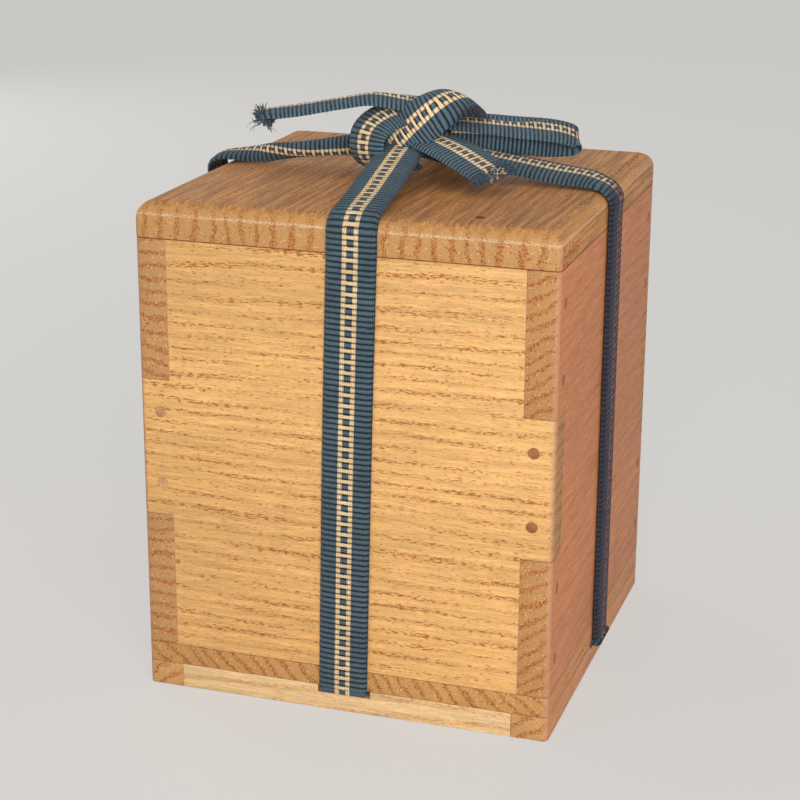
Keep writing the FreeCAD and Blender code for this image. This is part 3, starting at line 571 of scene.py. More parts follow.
def smooth_line(points, step):
    """Evenly spaced points on a smooth curve through given ones, each a tuple of numbers."""
    dense = []
    count = len(points)
    for i in range(count - 1):
        p0, p1, p2, p3 = (points[min(max(j, 0), count - 1)] for j in (i - 1, i, i + 1, i + 2))
        pieces = 24
        for k in range(pieces):
            t = k / pieces
            dense.append(tuple(
                0.5 * (2 * b + (c - a) * t + (2 * a - 5 * b + 4 * c - d) * t ** 2
                       + (3 * b - a - 3 * c + d) * t ** 3)
                for a, b, c, d in zip(p0, p1, p2, p3)))
    dense.append(tuple(points[-1]))
    places = [0.0]
    for a, b in zip(dense, dense[1:]):
        places.append(places[-1] + (Vector(b[:3]) - Vector(a[:3])).length)
    total = places[-1]
    rows = max(2, round(total / step))
    line = []
    j = 0
    for i in range(rows + 1):
        wanted = total * i / rows
        while j < len(places) - 2 and places[j + 1] < wanted:
            j += 1
        gap = places[j + 1] - places[j]
        t = (wanted - places[j]) / gap if gap else 0.0
        line.append(tuple(a + (b - a) * t for a, b in zip(dense[j], dense[j + 1])))
    return line, total


def flat_cord(stations, start=0.0, pitch=None, closed=False):
    """A stretch of the flat cord, bent along stations.

    A station is x, y, z between the cord's two edges, then the direction across it, then the
    distance between the edges, for a cord 12 mm wide, and how far the middle bulges out from
    between them. The section is a flat oval. Real ribs stand on both faces, pitch apart, and the
    map is in millimetres of cord that isn't slack.
    """
    cord = bpy.context.scene.caddy_box.cord
    rib = cord.rib / MM
    pitch = pitch or rib
    half_thick = cord.thick / MM / 2
    wider = cord.width / MM / CORD_WIDTH
    rows_per_rib, half_steps, rib_depth = 6, 13, 0.16
    line, total = smooth_line(stations, pitch / rows_per_rib)
    section = [(k / half_steps, 1.0) for k in range(half_steps + 1)]
    section += [(share, -1.0) for share, face in reversed(section)]
    columns = len(section)
    rows = len(line)
    bm = bmesh.new()
    bmesh.ops.create_grid(bm, x_segments=columns, y_segments=rows - 1, size=1.0)
    bm.verts.ensure_lookup_table()
    weave = bm.loops.layers.uv.new("weave")
    order = {}
    for vert in bm.verts:
        i = round((vert.co.x + 1.0) / 2.0 * columns)
        j = round((vert.co.y + 1.0) / 2.0 * (rows - 1))
        order[vert.index] = (i, j)
    frames = []
    for j, point in enumerate(line):
        ahead = Vector(line[min(j + 1, rows - 1)][:3])
        behind = Vector(line[max(j - 1, 0)][:3])
        if closed and j in (0, rows - 1):
            ahead, behind = Vector(line[1][:3]), Vector(line[rows - 2][:3])
        tangent = (ahead - behind).normalized()
        across = Vector(point[3:6])
        across = (across - tangent * across.dot(tangent)).normalized()
        frames.append((Vector(point[:3]), across, across.cross(tangent).normalized(),
                       point[6] * wider, point[7], start + total * j / (rows - 1) * rib / pitch))
    for face in bm.faces:
        for loop in face.loops:
            i, j = order[loop.vert.index]
            loop[weave].uv = (section[i % columns][0] * cord.width / MM, frames[j][5])
    for vert in bm.verts:
        i, j = order[vert.index]
        share, face = section[i % columns]
        centre, across, normal, width, crown, v = frames[j]
        s = share * 2.0 - 1.0
        edge = max(0.0, abs(s) - 0.86) / 0.14
        thin = math.sqrt(max(0.0, 1.0 - edge ** 2)) * 0.8 + 0.2 * (1.0 - edge)
        wave = abs(math.sin(math.pi * v / rib))
        relief = rib_depth * (wave ** 0.7 - 0.6) * thin
        rise = crown * (1.0 - s * s)
        outward = (normal * (width / 2) + across * (2 * crown * s)).normalized()
        vert.co = centre + across * (s * width / 2) + normal * rise
        vert.co += outward * (face * (half_thick * thin + relief))
    bmesh.ops.remove_doubles(bm, verts=bm.verts, dist=0.02 if closed else 0.001)
    if not closed:
        bmesh.ops.holes_fill(bm, edges=[e for e in bm.edges if e.is_boundary], sides=0)
    bmesh.ops.recalc_face_normals(bm, faces=bm.faces)
    return bm


def lying(points, across, width=CORD_WIDTH, crown=0.0):
    """Stations that all face one way."""
    return [tuple(point) + tuple(across) + (width, crown) for point in points]


class CordMaterials:
    """The cord's materials, made once and shared by its pieces."""
    made = {}

    @classmethod
    def get(cls, kind):
        if kind not in cls.made:
            cord = bpy.context.scene.caddy_box.cord
            makers = {
                "weave": woven_cord,
                "blue": lambda: thread("blue_cotton_yarn", linear("#3a5162")),
                "fluff": lambda: thread("worn_cotton_fluff", linear("#7b909c")),
                "cream": lambda: thread("cream_cotton_yarn", cord.cream),
            }
            cls.made[kind] = makers[kind]()
        return cls.made[kind]


# Operators


class CADDYBOX_OT_stage(bpy.types.Operator):
    """Sets the paper floor, the soft lamps and the camera"""
    bl_idname = "caddybox.stage"
    bl_label = "Stage"

    def execute(self, context):
        scene = context.scene
        scene.view_settings.view_transform = "Standard"
        bm = bmesh.new()
        bmesh.ops.create_grid(bm, x_segments=2, y_segments=2, size=3000.0,
                              matrix=Matrix.Translation((0, 0, -0.1)))
        floor = finish_mesh("paper_floor", bm, pale_stage())

        lamps = (
            ("front_softbox", (350, -750, 262), (0, 0, 60), 620, 5.4),
            ("top_softbox", (-120, -60, 760), (0, 0, 60), 520, 0.35),
            ("rear_fill", (-760, 480, 250), (0, 0, 60), 520, 2.2),
        )
        for name, place, aim, size, power in lamps:
            data = bpy.data.lights.new(name, "AREA")
            data.shape = "SQUARE"
            data.size = size * MM
            data.energy = power
            data.color = (1.0, 0.985, 0.965)
            lamp = bpy.data.objects.new(name, data)
            lamp.location = Vector(place) * MM
            lamp.rotation_euler = (Vector(aim) - Vector(place)).to_track_quat("-Z", "Y").to_euler()
            scene.collection.objects.link(lamp)

        world = bpy.data.worlds.new("pale_room")
        scene.world = world
        world.use_nodes = True
        tree = world.node_tree
        tree.nodes.clear()
        path = add_node(tree, "LightPath")
        seen = add_node(tree, "Math", {
            0: path.outputs["Is Camera Ray"], 1: path.outputs["Is Glossy Ray"]}, operation="MAXIMUM")
        room = add_node(tree, "Background", {"Color": (0.9, 0.93, 1.0, 1.0), "Strength": 0.32})
        wall = add_node(tree, "Background", {"Color": linear("#e9e7e3"), "Strength": 1.0})
        both = add_node(tree, "MixShader", {0: seen, 1: room, 2: wall})
        add_node(tree, "OutputWorld", {0: both})

        lens = bpy.data.cameras.new("photo_camera")
        lens.lens = 89.6
        lens.sensor_width = 36.0
        lens.clip_start = 0.01
        camera = bpy.data.objects.new("photo_camera", lens)
        camera.location = Vector((145.5, -453.1, 215.8)) * MM
        camera.rotation_euler = tuple(math.radians(angle) for angle in (72.14, -0.295, 18.175))
        scene.collection.objects.link(camera)
        scene.camera = camera
        return {"FINISHED"}


class CADDYBOX_OT_box(bpy.types.Operator):
    """Builds the walls, the bottom board and the foot rails"""
    bl_idname = "caddybox.box"
    bl_label = "Box"

    def execute(self, context):
        walls = (
            ("front", 1, "X", (-40, -900), None, "#c6935c", 0.9),
            ("back", 1, "X", (160, -700), "#dfa568", "#cb9059", 0.9),
            ("left", 0, "Y", (-90, 620), "#dd9f66", "#c49460", 0.6),
            ("right", 0, "Y", (430, -680), "#dc8c5e", "#c4915a", 0.3),
        )
        for side, first, grain, heart, face, end, stain in walls:
            material = paulownia("paulownia_" + side, grain, heart, face, end, stain)
            board(side + "_wall", wall_outline(first), WALL, side, WALL_BOTTOM, material)

        wood = context.scene.caddy_box.wood
        bm = block((-HALF, -HALF, RAIL_TOP), (HALF, HALF, WALL_BOTTOM))
        ease(bm, [e for e in bm.edges if upright(e)], wood.corner / MM, 4)
        ease(bm, sharp(bm), wood.ease / MM)
        material = paulownia("paulownia_base", "Y", (-500, -420), "#dd9a62", "#cb985c", 0.5)
        fitted("bottom_board", bm, material, "box")

        # The side rails run the full depth, and the front and back ones fit between them
        rail_wide, slot_low, half_slot = 8.8, 4.2, 6.5
        rails = (
            ("front", 0.3, "X", (-300, 500)), ("back", -0.3, "X", (-200, 420)),
            ("left", 0.0, "Y", (-260, 380)), ("right", 0.0, "Y", (-300, 400)),
        )
        for side, shift, grain, heart in rails:
            rounded = side in ("left", "right")
            end = HALF if rounded else HALF - rail_wide
            near, far = shift - half_slot, shift + half_slot
            corners = [(-end, 0.0), (end, 0.0), (end, RAIL_TOP), (far, RAIL_TOP), (far, slot_low),
                       (near, slot_low), (near, RAIL_TOP), (-end, RAIL_TOP)]
            name = side + "_foot_rail"
            face = "#e09c6e" if rounded else "#f1cb96"
            material = paulownia("paulownia_" + name, grain, heart, face, "#d3a066", 0.5)
            board(name, corners, rail_wide, side, 0.0, material, rounded)
        return {"FINISHED"}


class CADDYBOX_OT_pegs(bpy.types.Operator):
    """Drives in the wooden pegs"""
    bl_idname = "caddybox.pegs"
    bl_label = "Pegs"

    def execute(self, context):
        material = peg_wood()
        # Two pegs to each finger: one finger reaches the corner at the front and back, two at the sides
        pair, from_middle = (-8.75, 8.75), 45.0
        middle = [FINGER * 1.5 + gap for gap in pair]
        outer = [FINGER * (k + 0.5) + gap for k in (0, 2) for gap in pair]
        level = Matrix.Rotation(math.radians(-90), 4, "X")
        for side in SIDES:
            heights = middle if side in ("front", "back") else outer
            bm = bmesh.new()
            for x in (-from_middle, from_middle):
                for height in heights:
                    self.peg(bm, 20.0, Matrix.Translation((x, 0, height)) @ level)
            to_side(bm, side, HALF, WALL_BOTTOM)
            fitted(side + "_pegs", bm, material, "box")

        # Pegs up through the rails and the bottom board into the walls
        bm = bmesh.new()
        near, far = 22, 46
        for x_way in (-1, 1):
            for y_way in (-1, 1):
                for x, y in ((near, far), (far, near)):
                    self.peg(bm, 23.0, Matrix.Translation((x * x_way, y * y_way, 0)))
        fitted("base_pegs", bm, material, "box")
        return {"FINISHED"}

    @staticmethod
    def peg(bm, deep, place):
        """A round peg whose head stands a little proud, with a softened rim."""
        head, tip, proud, soft = 1.42, 1.3, 0.02, 0.06
        made = bmesh.ops.create_cone(bm, cap_ends=True, segments=28, radius1=head, radius2=tip,
                                     depth=deep + proud)
        verts = made["verts"]
        bmesh.ops.translate(bm, vec=(0, 0, (deep - proud) / 2), verts=verts)
        rim = [e for e in bm.edges if all(v in verts and v.co.z < 0 for v in e.verts)]
        bmesh.ops.transform(bm, matrix=place, verts=verts)
        ease(bm, rim, soft, 1)


class CADDYBOX_OT_lid(bpy.types.Operator):
    """Builds the lid board and the battens under it"""
    bl_idname = "caddybox.lid"
    bl_label = "Lid"

    def execute(self, context):
        wood = context.scene.caddy_box.wood
        radius, corner = wood.lid_round / MM, 1.2
        bm = block((-HALF, -HALF, WALL_TOP), (HALF, HALF, LID_TOP - radius))
        ease(bm, [e for e in bm.edges if upright(e)], corner, 4)
        low = [e for e in bm.edges if all(abs(v.co.z - WALL_TOP) < 1e-4 for v in e.verts)
               and e.is_manifold and e.calc_face_angle(0.0) > 0.9]
        ease(bm, low, 2 * wood.ease / MM)

        # The rounding, drawn in and up from the top face in small steps
        face = max(bm.faces, key=lambda f: f.calc_center_median().z)
        reach, height = HALF, 0.0
        steps = 20
        for k in range(1, steps + 1):
            grown = bmesh.ops.extrude_face_region(bm, geom=[face])["geom"]
            face = [item for item in grown if isinstance(item, bmesh.types.BMFace)][0]
            angle = math.radians(90.0 * k / steps)
            size = (HALF - radius * (1 - math.cos(angle))) / reach
            rise = radius * math.sin(angle) - height
            bmesh.ops.scale(bm, vec=(size, size, 1.0), verts=face.verts)
            bmesh.ops.translate(bm, vec=(0, 0, rise), verts=face.verts)
            reach *= size
            height += rise
        material = paulownia("paulownia_lid", "Y", (-900, 140), "#ca8a4e", "#c9975e", 0.8, 0.36, 4.1,
                             lid=True)
        fitted("lid_board", bm, material, "lid")

        # Battens that fit in the box's mouth with a little play, the side ones between the others
        thick, deep, play, lead = 7.0, 8.0, 0.4, 1.2
        out = HALF - WALL - play
        lengthwise = paulownia("paulownia_battens", "X", (-200, -200))
        crosswise = paulownia("paulownia_side_battens", "Y", (-200, -200))
        for side in SIDES:
            half, material = out, lengthwise
            if side in ("left", "right"):
                half, material = out - thick, crosswise
            bm = block((-half, 0.0, -deep), (half, thick, 0.0))
            outer = [e for e in bm.edges if all(abs(v.co.z + deep) < 1e-4 and abs(v.co.y) < 1e-4
                                                for v in e.verts)]
            ease(bm, outer, lead, 1)
            ease(bm, sharp(bm, 30.0), wood.ease / MM)
            to_side(bm, side, out, WALL_TOP)
            fitted(side + "_batten", bm, material, "lid")
        return {"FINISHED"}


class CADDYBOX_OT_straps(bpy.types.Operator):
    """Lays the cord under the base, up the four walls and over the lid to the knot"""
    bl_idname = "caddybox.straps"
    bl_label = "Straps"

    def execute(self, context):
        weave = CordMaterials.get("weave")
        mid, foot, top = HALF + 0.6, RAIL_TOP, WALL_TOP

        # Up the walls
        reached = {}
        sides = (
            ("cord_front", [(0.3, -mid, foot), (1, -mid, 45), (1.75, -mid, 80), (2.6, -mid, top)],
             (1, 0, 0), 0.25, 0.0),
            ("cord_back", [(0.3, mid, foot), (0.6, mid, 60), (1, mid, top)], (-1, 0, 0), 0.3, 0.4),
            ("cord_left", [(-mid, 0, foot), (-mid, 1.2, 60), (-mid, 2.7, top)], (0, -1, 0), 0.5, 0.8),
            ("cord_right", [(mid, 0, foot), (mid, 0, 60), (mid, 0, top)], (0, 1, 0), 0.6, 0.2),
        )
        for name, points, across, crown, start in sides:
            stations = lying(points, across, crown=crown)
            reached[name.replace("cord_", "cord_over_")] = start + smooth_line(stations, 5.0)[1]
            obj = finish_mesh(name + "_piece", flat_cord(stations, start), weave, 80.0)
            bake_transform(obj)
            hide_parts(name)

        # Under the base, with the left-right run dipping below the other
        low = 5.4
        ends = [(mid, 6.1), (50.3, 5.6), (49.6, low)]
        level = ends + [(30, low), (0, low)]
        dipped = ends + [(22, low), (9, 4.2), (0, 4.15)]
        level, dipped = ([(-r, z) for r, z in half] + half[-2::-1] for half in (level, dipped))
        runs = (
            ("cord_under_front_back", [(0.3, r, z) for r, z in level], (1, 0, 0)),
            ("cord_under_left_right", [(r, 0, z) for r, z in dipped], (0, -1, 0)),
        )
        for name, points, across in runs:
            fitted(name, flat_cord(lying(points, across), 0.6), weave, "box", 80.0)

        # Over the lid's rounded edge and up to the knot. A bend is how far out and how high it runs
        bends = [(46 + 4.75 * math.cos(math.radians(a)), 116 + 4.75 * math.sin(math.radians(a)))
                 for a in (12, 33, 54, 75)]
        over = (
            ("cord_over_front", [
                (2.6, -mid, top, 1, 0, 0, 12, 0.25), (2.65, -mid, 114.5, 1, 0, 0, 12, 0.25)] + [
                (2.7, -r, z, 1, 0, 0, 12, 0.3) for r, z in bends] + [
                (2.6, -43, 121.4, 1, 0.02, 0, 12, 0.4), (2.3, -36, 122.5, 1, 0.04, 0, 12, 0.5),
                (1.3, -22, 124.8, 1, 0.08, 0, 11.8, 0.6), (0.5, -12, 126.3, 1, 0.1, 0, 11.4, 0.7),
                (0.2, -5, 127.2, 1, 0.1, 0, 11, 0.8)], 1.3),
            ("cord_over_back", [
                (1, mid, top, -1, 0, 0, 12, 0.3), (1, mid, 114.5, -1, 0, 0, 12, 0.3)] + [
                (1, r, z, -1, 0, 0, 12, 0.3) for r, z in bends] + [
                (1, 43, 121.4, -1, 0, 0, 12, 0.4), (1.1, 36, 122.5, -1, 0, 0, 12, 0.5),
                (1.3, 22, 124.6, -1, 0, 0, 11.8, 0.6), (1.5, 6, 127.2, -1, 0, 0, 11, 0.8)], 1.2),
            ("cord_over_left", [
                (-mid, 2.7, top, 0, -1, 0, 12, 0.5), (-51, 2.7, 114.5, 0, -1, 0, 12, 0.5),
                (-51.6, 2.7, 117.4, 0, -1, 0, 12, 0.5), (-51.2, 2.6, 119.7, 0, -1, 0, 11.7, 0.6),
                (-49, 2.4, 121, 0, -1, 0, 10.8, 0.8), (-45, 2.2, 121.3, 0, -1, -0.1, 8.4, 1.2),
                (-40, 2, 121.8, 0, -0.92, -0.4, 6, 1.6), (-35.5, 1.4, 122.7, 0, -0.5, -0.86, 4.2, 2.2),
                (-31, 1.4, 123.9, 0, 0.1, -0.99, 3.5, 2.4), (-26, 1.6, 124.9, 0, 0.45, -0.89, 3.7, 2.7),
                (-20, 2.2, 125.8, 0, 0.5, -0.86, 4.3, 3.2), (-14, 2.3, 126.7, 0, 0.5, -0.86, 5.2, 3.6),
                (-7, 1.8, 127.6, 0, 0.5, -0.86, 6.4, 3.4), (-3, 1.2, 127.8, 0, 0.5, -0.86, 7, 2.8)], 1.15),
            ("cord_over_right", [
                (mid, 0, top, 0, 1, 0, 12, 0.6), (mid, 0, 114.5, 0, 1, 0, 12, 0.7)] + [
                (r, 0.1, z, 0, 1, 0.03, 12, 0.9) for r, z in bends] + [
                (43.5, 0.5, 121.4, 0, 1, 0.1, 12, 1.3), (36, 0.8, 122.1, 0, 1, 0.14, 11.8, 1.4),
                (22, 1, 124, 0, 1, 0.14, 11.4, 1.5), (8, 1, 126, 0, 1, 0.1, 11, 1.3)], 1.15),
        )
        for name, stations, pitch in over:
            fitted(name, flat_cord(stations, reached[name], pitch), weave, "lid", 80.0)
        return {"FINISHED"}


class CADDYBOX_OT_bow(bpy.types.Operator):
    """Ties the knot, its two loops and its two loose ends"""
    bl_idname = "caddybox.bow"
    bl_label = "Bow"

    def execute(self, context):
        weave = CordMaterials.get("weave")
        slack = 1.02

        # The wrap: one turn of cord round the gathered strands, flared to the right
        ring = [
            (2.2, -6.4, 131.9, 0.62, -0.32, -0.7, 12, 1.5), (5, -6.5, 134.4, 0.66, -0.34, -0.66, 11.8, 1.8),
            (8.2, -5.6, 136.7, 0.76, -0.4, -0.5, 11.6, 2.2), (10.6, -2.9, 138, 0.82, -0.42, -0.36, 11.8, 2),
            (11.8, 0.6, 137.9, 0.88, -0.28, -0.3, 12, 1.6), (12, 4.8, 135.8, 0.9, 0.05, -0.36, 12, 1.2),
            (10.6, 7.8, 132.4, 0.86, 0.26, -0.42, 12, 1), (7.2, 8.6, 129.4, 0.86, 0.28, -0.36, 12, 0.9),
            (3, 7.2, 127.2, 0.92, 0.2, -0.28, 12, 0.8), (-0.6, 3.8, 126.3, 0.96, 0.05, -0.22, 12, 0.8),
            (-2.4, -0.4, 126.6, 0.92, -0.12, -0.3, 12, 0.9), (-2, -4, 127.9, 0.8, -0.24, -0.5, 12, 1.1),
            (-0.4, -5.9, 129.4, 0.66, -0.3, -0.68, 12, 1.3)]
        ring.append(ring[0])
        wrap = flat_cord(ring, 0.2, slack, closed=True)
        fitted("cord_knot", wrap, weave, "lid", 80.0)

        # The gathered strands inside it
        strands = (
            ("gathered_cord_1", [(-4.5, -1, 133), (2, -1.4, 133.4), (9.5, 0.2, 133.4)], (0, 0.97, 0.2)),
            ("gathered_cord_2", [(-4, 0.6, 130.4), (2.5, 0.2, 130.6), (10, 1, 131.4)], (0, 0.98, 0.1)),
            ("gathered_cord_3", [(-3.4, 1, 128.6), (2.5, 0.8, 128.6), (9, 1.2, 129.4)], (0, 0.99, -0.1)),
            ("gathered_cord_4", [(2, 6, 135.6), (4, 1, 135.4), (4.4, -4, 133.6)], (0.9, 0.2, -0.4)),
        )
        for name, points, across in strands:
            layer = flat_cord(lying(points, across, 10.5, 0.5), 0.3, slack)
            dress(finish_mesh(name, layer, weave, 80.0), "lid")

        # The long loop to the right comes back under itself, the short one at the left bends down
        right_loop = [
            (5, 0.8, 133, 0.3, -0.94, -0.1, 11.4, 0.4), (12.5, 3.2, 132.6, 0.3, -0.93, -0.16, 11.8, 0.5),
            (24, 7.3, 131.5, 0.31, -0.92, -0.24, 12, 0.6), (31.5, 10, 130.8, 0.31, -0.91, -0.28, 12, 0.5),
            (35.6, 11.5, 130, 0.31, -0.91, -0.3, 12, 0.4), (37.7, 12.3, 129, 0.31, -0.9, -0.34, 12, 0.2),
            (36.5, 12, 128.2, 0.3, -0.84, -0.44, 11.6, -0.2),
            (31.5, 10.6, 128.6, 0.25, -0.7, -0.66, 10.8, -1.4),
            (24, 7.9, 129.5, 0.21, -0.58, -0.79, 10.2, -2.1), (14, 4.6, 130.3, 0.21, -0.6, -0.77, 10.2, -2),
            (5, 1.6, 130.2, 0.25, -0.72, -0.64, 10.6, -1.4)]
        left_loop = [
            (2.5, -2, 134.6, -0.72, 0.62, 0.3, 11.4, 0.6), (-1.8, -3.8, 135, -0.76, 0.58, 0.3, 11.6, 0.6),
            (-5, -6.6, 134, -0.82, 0.5, 0.24, 11.8, 0.6), (-7.2, -9.3, 131.7, -0.86, 0.48, 0.12, 12, 0.6),
            (-7.8, -10.4, 128.4, -0.87, 0.48, 0.02, 12, 0.6), (-7.2, -9.9, 125.3, -0.87, 0.48, 0, 12, 0.6),
            (-5.4, -7.8, 123.2, -0.87, 0.48, 0, 11.8, 0.5), (-2.6, -4.2, 122.6, -0.87, 0.48, 0, 11.4, 0.3),
            (1, -1, 123.2, -0.87, 0.48, 0, 11, 0.2)]
        loops = (("cord_right_loop", right_loop, 0.2), ("cord_left_loop", left_loop, 0.7))
        for name, stations, start in loops:
            fitted(name, flat_cord(stations, start, slack), weave, "lid", 80.0)

        left_tail = [
            (3, 0.6, 136.4, 0.28, 0.95, 0.1, 10.6, 1), (-3, -1.6, 137, 0.29, 0.95, 0.04, 10.6, 1.6),
            (-8, -3.2, 137.1, 0.3, 0.95, 0, 10.4, 2.1), (-14, -5.2, 136.2, 0.3, 0.95, 0, 10.4, 2.1),
            (-22, -7.9, 134.8, 0.3, 0.95, 0, 10.2, 2.1), (-28, -9.8, 133.9, 0.3, 0.95, 0, 10, 2.1),
            (-31.2, -10.9, 133.3, 0.3, 0.95, 0, 9.4, 2.2), (-33.2, -11.5, 132.3, 0.3, 0.95, 0, 7.6, 2.3)]
        front_tail = [
            (-1.5, 0.8, 129.6, -0.5, -0.85, -0.12, 11, 0.5),
            (3.2, -2.4, 129.7, -0.52, -0.84, -0.13, 11.6, 0.7),
            (9, -6.2, 128.9, -0.55, -0.82, -0.14, 12, 0.8),
            (15.5, -10.2, 127.5, -0.57, -0.81, -0.14, 12, 0.7),
            (21, -13.3, 125.7, -0.58, -0.8, -0.14, 12, 0.6),
            (25.2, -15.6, 124.2, -0.6, -0.79, -0.14, 12.1, 0.5)]
        tails = (
            ("cord_left_tail", left_tail, 0.5, 3.0, 2.0, 0.85, 5),
            ("cord_front_tail", front_tail, 0.1, 2.1, 1.0, 0.42, 0),
        )
        for name, stations, start, long, curl, spread, loose in tails:
            fitted(name, flat_cord(stations, start, slack), weave, "lid", 80.0)
            self.frayed(name, stations[-2], stations[-1], long, curl, spread, loose)
        self.fuzz()
        return {"FINISHED"}

    def frayed(self, name, before, end, long, curl, spread, loose):
        """Loose yarns at a cut end, dark blue with cream tufts where the ladder's threads end."""
        rng = random.Random(name)
        along = (Vector(end[:3]) - Vector(before[:3])).normalized()
        across = Vector(end[3:6])
        across = (across - along * across.dot(along)).normalized()
        normal = across.cross(along).normalized()
        # Each shade's number of yarns, how far across they start and how wide a gap they leave
        groups = (("blue", 420, 0.97, 0.0), ("cream", 60, 0.32, 0.13))
        for shade, count, reach, gap in groups:
            yarns = []
            for k in range(count):
                side = rng.uniform(-reach, reach)
                if abs(side) < gap:
                    side = math.copysign(gap + rng.random() * 0.16, side)
                root = (Vector(end[:3]) + across * side * end[6] / 2 - along * rng.uniform(0.2, 0.9)
                        + normal * (end[7] * (1 - side * side) + rng.uniform(-0.5, 0.6)))
                heading = along + across * rng.gauss(0, spread) + normal * rng.gauss(0.1, spread)
                yarns.append((root, heading.normalized(), rng.uniform(0.4, 1.0) * long,
                              rng.uniform(0.15, 0.25), curl))
            for k in range(loose if shade == "blue" else 0):
                root = Vector(end[:3]) + normal * rng.uniform(0, 2) + along
                heading = along + across * rng.gauss(0, 0.25) + normal * rng.uniform(0.1, 0.9)
                yarns.append((root, heading.normalized(), rng.uniform(3.4, 5.2), 0.12, 0.55))
            bm = self.gathered(yarns, rng)
            obj = finish_mesh("%s_%s_fray" % (name, shade), bm, CordMaterials.get(shade), 60.0)
            dress(obj, "lid")

    def fuzz(self):
        """Fine fibres worn loose, standing off the bow's cords."""
        rng = random.Random(7)
        yarns = []
        above_lid, tied = 0.112, 0.122
        cords = [obj for obj in bpy.data.objects if obj.type == "MESH" and "weave" in obj.data.uv_layers]
        bow = [obj for obj in cords if min(vert.co.z for vert in obj.data.vertices) > above_lid]
        spots = [vert for obj in bow for vert in obj.data.vertices if vert.co.z > tied]
        for vert in rng.sample(spots, bpy.context.scene.caddy_box.cord.fibres):
            stray = Vector([rng.gauss(0, 0.5) for axis in range(3)])
            heading = (vert.normal + stray).normalized()
            yarns.append((vert.co / MM, heading, rng.uniform(0.25, 0.8), rng.uniform(0.025, 0.045),
                          0.8))
        bm = self.gathered(yarns, rng)
        dress(finish_mesh("bow_fuzz", bm, CordMaterials.get("fluff"), 60.0), "lid")

    def gathered(self, yarns, rng):
        """One bmesh of many yarns, made forty at a time to keep it quick."""
        whole = bmesh.new()
        for first in range(0, len(yarns), 40):
            part = bmesh.new()
            for yarn in yarns[first:first + 40]:
                self.yarn(part, *yarn, rng)
            piece = bpy.data.meshes.new("yarns")
            part.to_mesh(piece)
            part.free()
            whole.from_mesh(piece)
            bpy.data.meshes.remove(piece)
        return whole

    @staticmethod
    def yarn(bm, root, heading, long, radius, curl, rng):
        """One short yarn that curls and narrows as it goes."""
        ring = bmesh.ops.create_circle(bm, cap_ends=True, radius=radius, segments=5)["verts"]
        turn = heading.to_track_quat("Z", "Y").to_matrix().to_4x4()
        bmesh.ops.transform(bm, matrix=Matrix.Translation(root) @ turn, verts=ring)
        face = [f for f in ring[0].link_faces][0]
        bend = Vector([rng.gauss(0, 1) for axis in range(3)]).cross(heading).normalized()
        steps = 3 if long < 1.3 else 6
        for k in range(steps):
            grown = bmesh.ops.extrude_face_region(bm, geom=[face])["geom"]
            face = [item for item in grown if isinstance(item, bmesh.types.BMFace)][0]
            stray = Vector([rng.gauss(0, 0.2) for axis in range(3)])
            heading = (heading + bend * curl * 3 / steps + stray).normalized()
            bmesh.ops.translate(bm, vec=heading * long / steps, verts=face.verts)
            centre = face.calc_center_median()
            bmesh.ops.scale(bm, vec=(0.93, 0.93, 0.93), verts=face.verts,
                            space=Matrix.Translation(-centre))


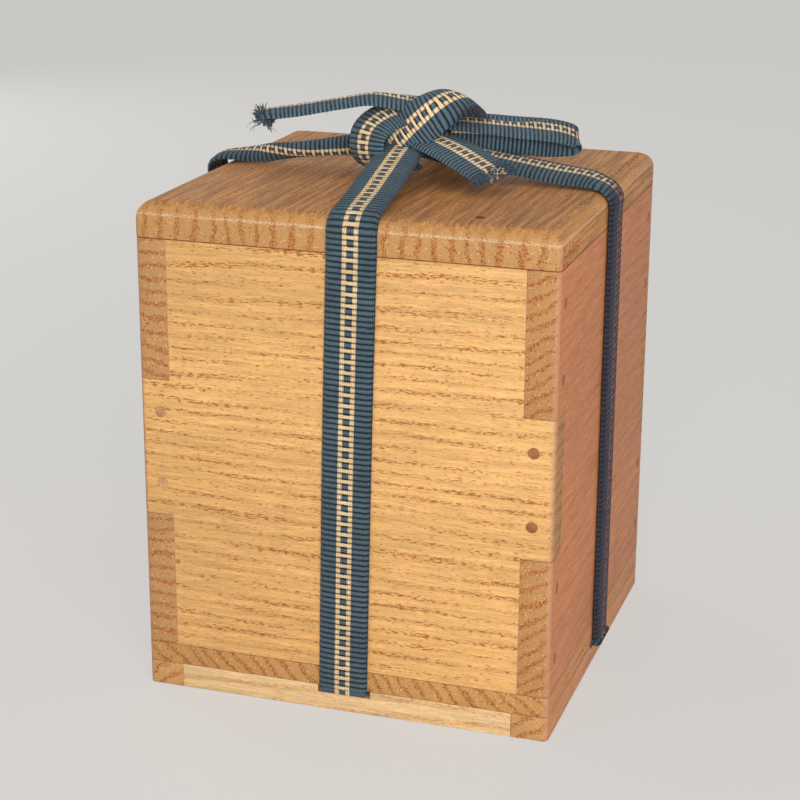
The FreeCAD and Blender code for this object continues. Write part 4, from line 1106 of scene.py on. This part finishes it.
class CADDYBOX_OT_caddy(bpy.types.Operator):
    """Turns the lacquer caddy and its lid"""
    bl_idname = "caddybox.caddy"
    bl_label = "Caddy"

    def execute(self, context):
        caddy = context.scene.caddy_box.caddy
        polished = urushi("black_urushi_lacquer", caddy.lacquer, 0.09)

        # The bowl: its round flank, 60 degrees of a circle, meets the straight wall at flank_top
        flank, spread, thick, floor = 24.0, 9.0, 2.95, 3.0
        outer, bore, seat = spread + flank, spread + flank - thick, 31.15
        seam, rim = 40.0, 49.0
        flank_top = flank * math.sin(math.radians(60.0))
        outside = self.arc(spread, flank_top, flank, 60.0, 15)
        drop = math.degrees(math.asin((flank_top - floor) / (flank - thick)))
        inside = self.arc(spread, flank_top, flank - thick, drop, 14)
        depth = math.sqrt((flank - thick) ** 2 - (flank_top - floor) ** 2)
        body = [(0, 0.5), (18.5, 0.5), (19.2, 0.0), (20.6, 0.0), (21.0, 0.15)] + outside[::-1] + [
            (outer, flank_top), (outer, 30.0), (outer, seam - 0.2), (outer - 0.2, seam), (seat, seam),
            (seat, rim - 0.3), (seat - 0.3, rim), (bore + 0.3, rim), (bore, rim - 0.3), (bore, 30.0),
            (bore, flank_top)] + inside + [(spread + depth, floor), (0, floor)]
        fitted("caddy_body", self.lathe(body, WALL_BOTTOM), polished, "caddy", 40.0)

        # Its lid: a straight wall, a rounded shoulder and a low dome, hollow underneath
        shoulder_in, shoulder_low, shoulder, skirt, top = 28.0, 19.4, 5.0, 31.4, 27.0
        curve = [(shoulder_in + shoulder * math.cos(math.radians(a)),
                  shoulder_low + shoulder * math.sin(math.radians(a))) for a in range(8, 84, 8)]
        dome = [(shoulder_in * (1 - k / 6), top - 2.6 * (1 - k / 6) ** 2) for k in range(0, 6)]
        lid = [(outer, 0.2), (outer, 10.0), (outer, shoulder_low)] + curve + dome + [
            (0, top), (0, 22.8), (27.6, 22.8), (skirt, shoulder_low), (skirt, 10.0), (skirt, 0.2),
            (31.6, 0.0), (outer - 0.2, 0.0)]
        turned = self.lathe(lid, WALL_BOTTOM + seam, closed=True)
        fitted("caddy_lid", turned, polished, "caddy_top", 40.0)
        return {"FINISHED"}

    @staticmethod
    def arc(centre, height, radius, degrees, steps):
        """Points down a round flank from its widest place, without the two ends."""
        angles = [math.radians(degrees * k / steps) for k in range(1, steps)]
        return [(centre + radius * math.cos(a), height - radius * math.sin(a)) for a in angles]

    @staticmethod
    def lathe(profile, height, closed=False):
        """Spins a profile of radius and height round the caddy's axis."""
        bm = bmesh.new()
        verts = [bm.verts.new((x, 0.0, z + height)) for x, z in profile]
        edges = [bm.edges.new(pair) for pair in zip(verts, verts[1:])]
        if closed:
            edges.append(bm.edges.new((verts[-1], verts[0])))
        bmesh.ops.spin(bm, geom=verts + edges, cent=(0, 0, 0), axis=(0, 0, 1), angle=2 * math.pi,
                       steps=96, use_merge=True)
        bmesh.ops.remove_doubles(bm, verts=bm.verts, dist=0.001)
        bmesh.ops.dissolve_degenerate(bm, edges=bm.edges, dist=0.0005)
        bmesh.ops.recalc_face_normals(bm, faces=bm.faces)
        return bm


class CADDYBOX_PT_panel(bpy.types.Panel):
    """Shows the settings and the buttons that build the pieces"""
    bl_idname = "CADDYBOX_PT_panel"
    bl_label = "Caddy box"
    bl_space_type = "VIEW_3D"
    bl_region_type = "UI"
    bl_category = "Caddy box"

    def draw(self, context):
        settings = context.scene.caddy_box
        for group in (settings.wood, settings.cord, settings.caddy):
            box = self.layout.box()
            for key in group.__annotations__:
                box.prop(group, key)
        for operator in OPERATORS:
            self.layout.operator(operator.bl_idname)


OPERATORS = (CADDYBOX_OT_stage, CADDYBOX_OT_box, CADDYBOX_OT_pegs, CADDYBOX_OT_lid,
             CADDYBOX_OT_straps, CADDYBOX_OT_bow, CADDYBOX_OT_caddy)
CLASSES = (WoodSettings, CordSettings, CaddySettings, BoxSettings) + OPERATORS + (CADDYBOX_PT_panel,)


def register():
    for item in CLASSES:
        bpy.utils.register_class(item)
    bpy.types.Scene.caddy_box = PointerProperty(type=BoxSettings)


def unregister():
    del bpy.types.Scene.caddy_box
    for item in reversed(CLASSES):
        bpy.utils.unregister_class(item)


def main():
    register()
    for operator in OPERATORS:
        group, name = operator.bl_idname.split(".")
        getattr(getattr(bpy.ops, group), name)()


if __name__ == "__main__":
    main()
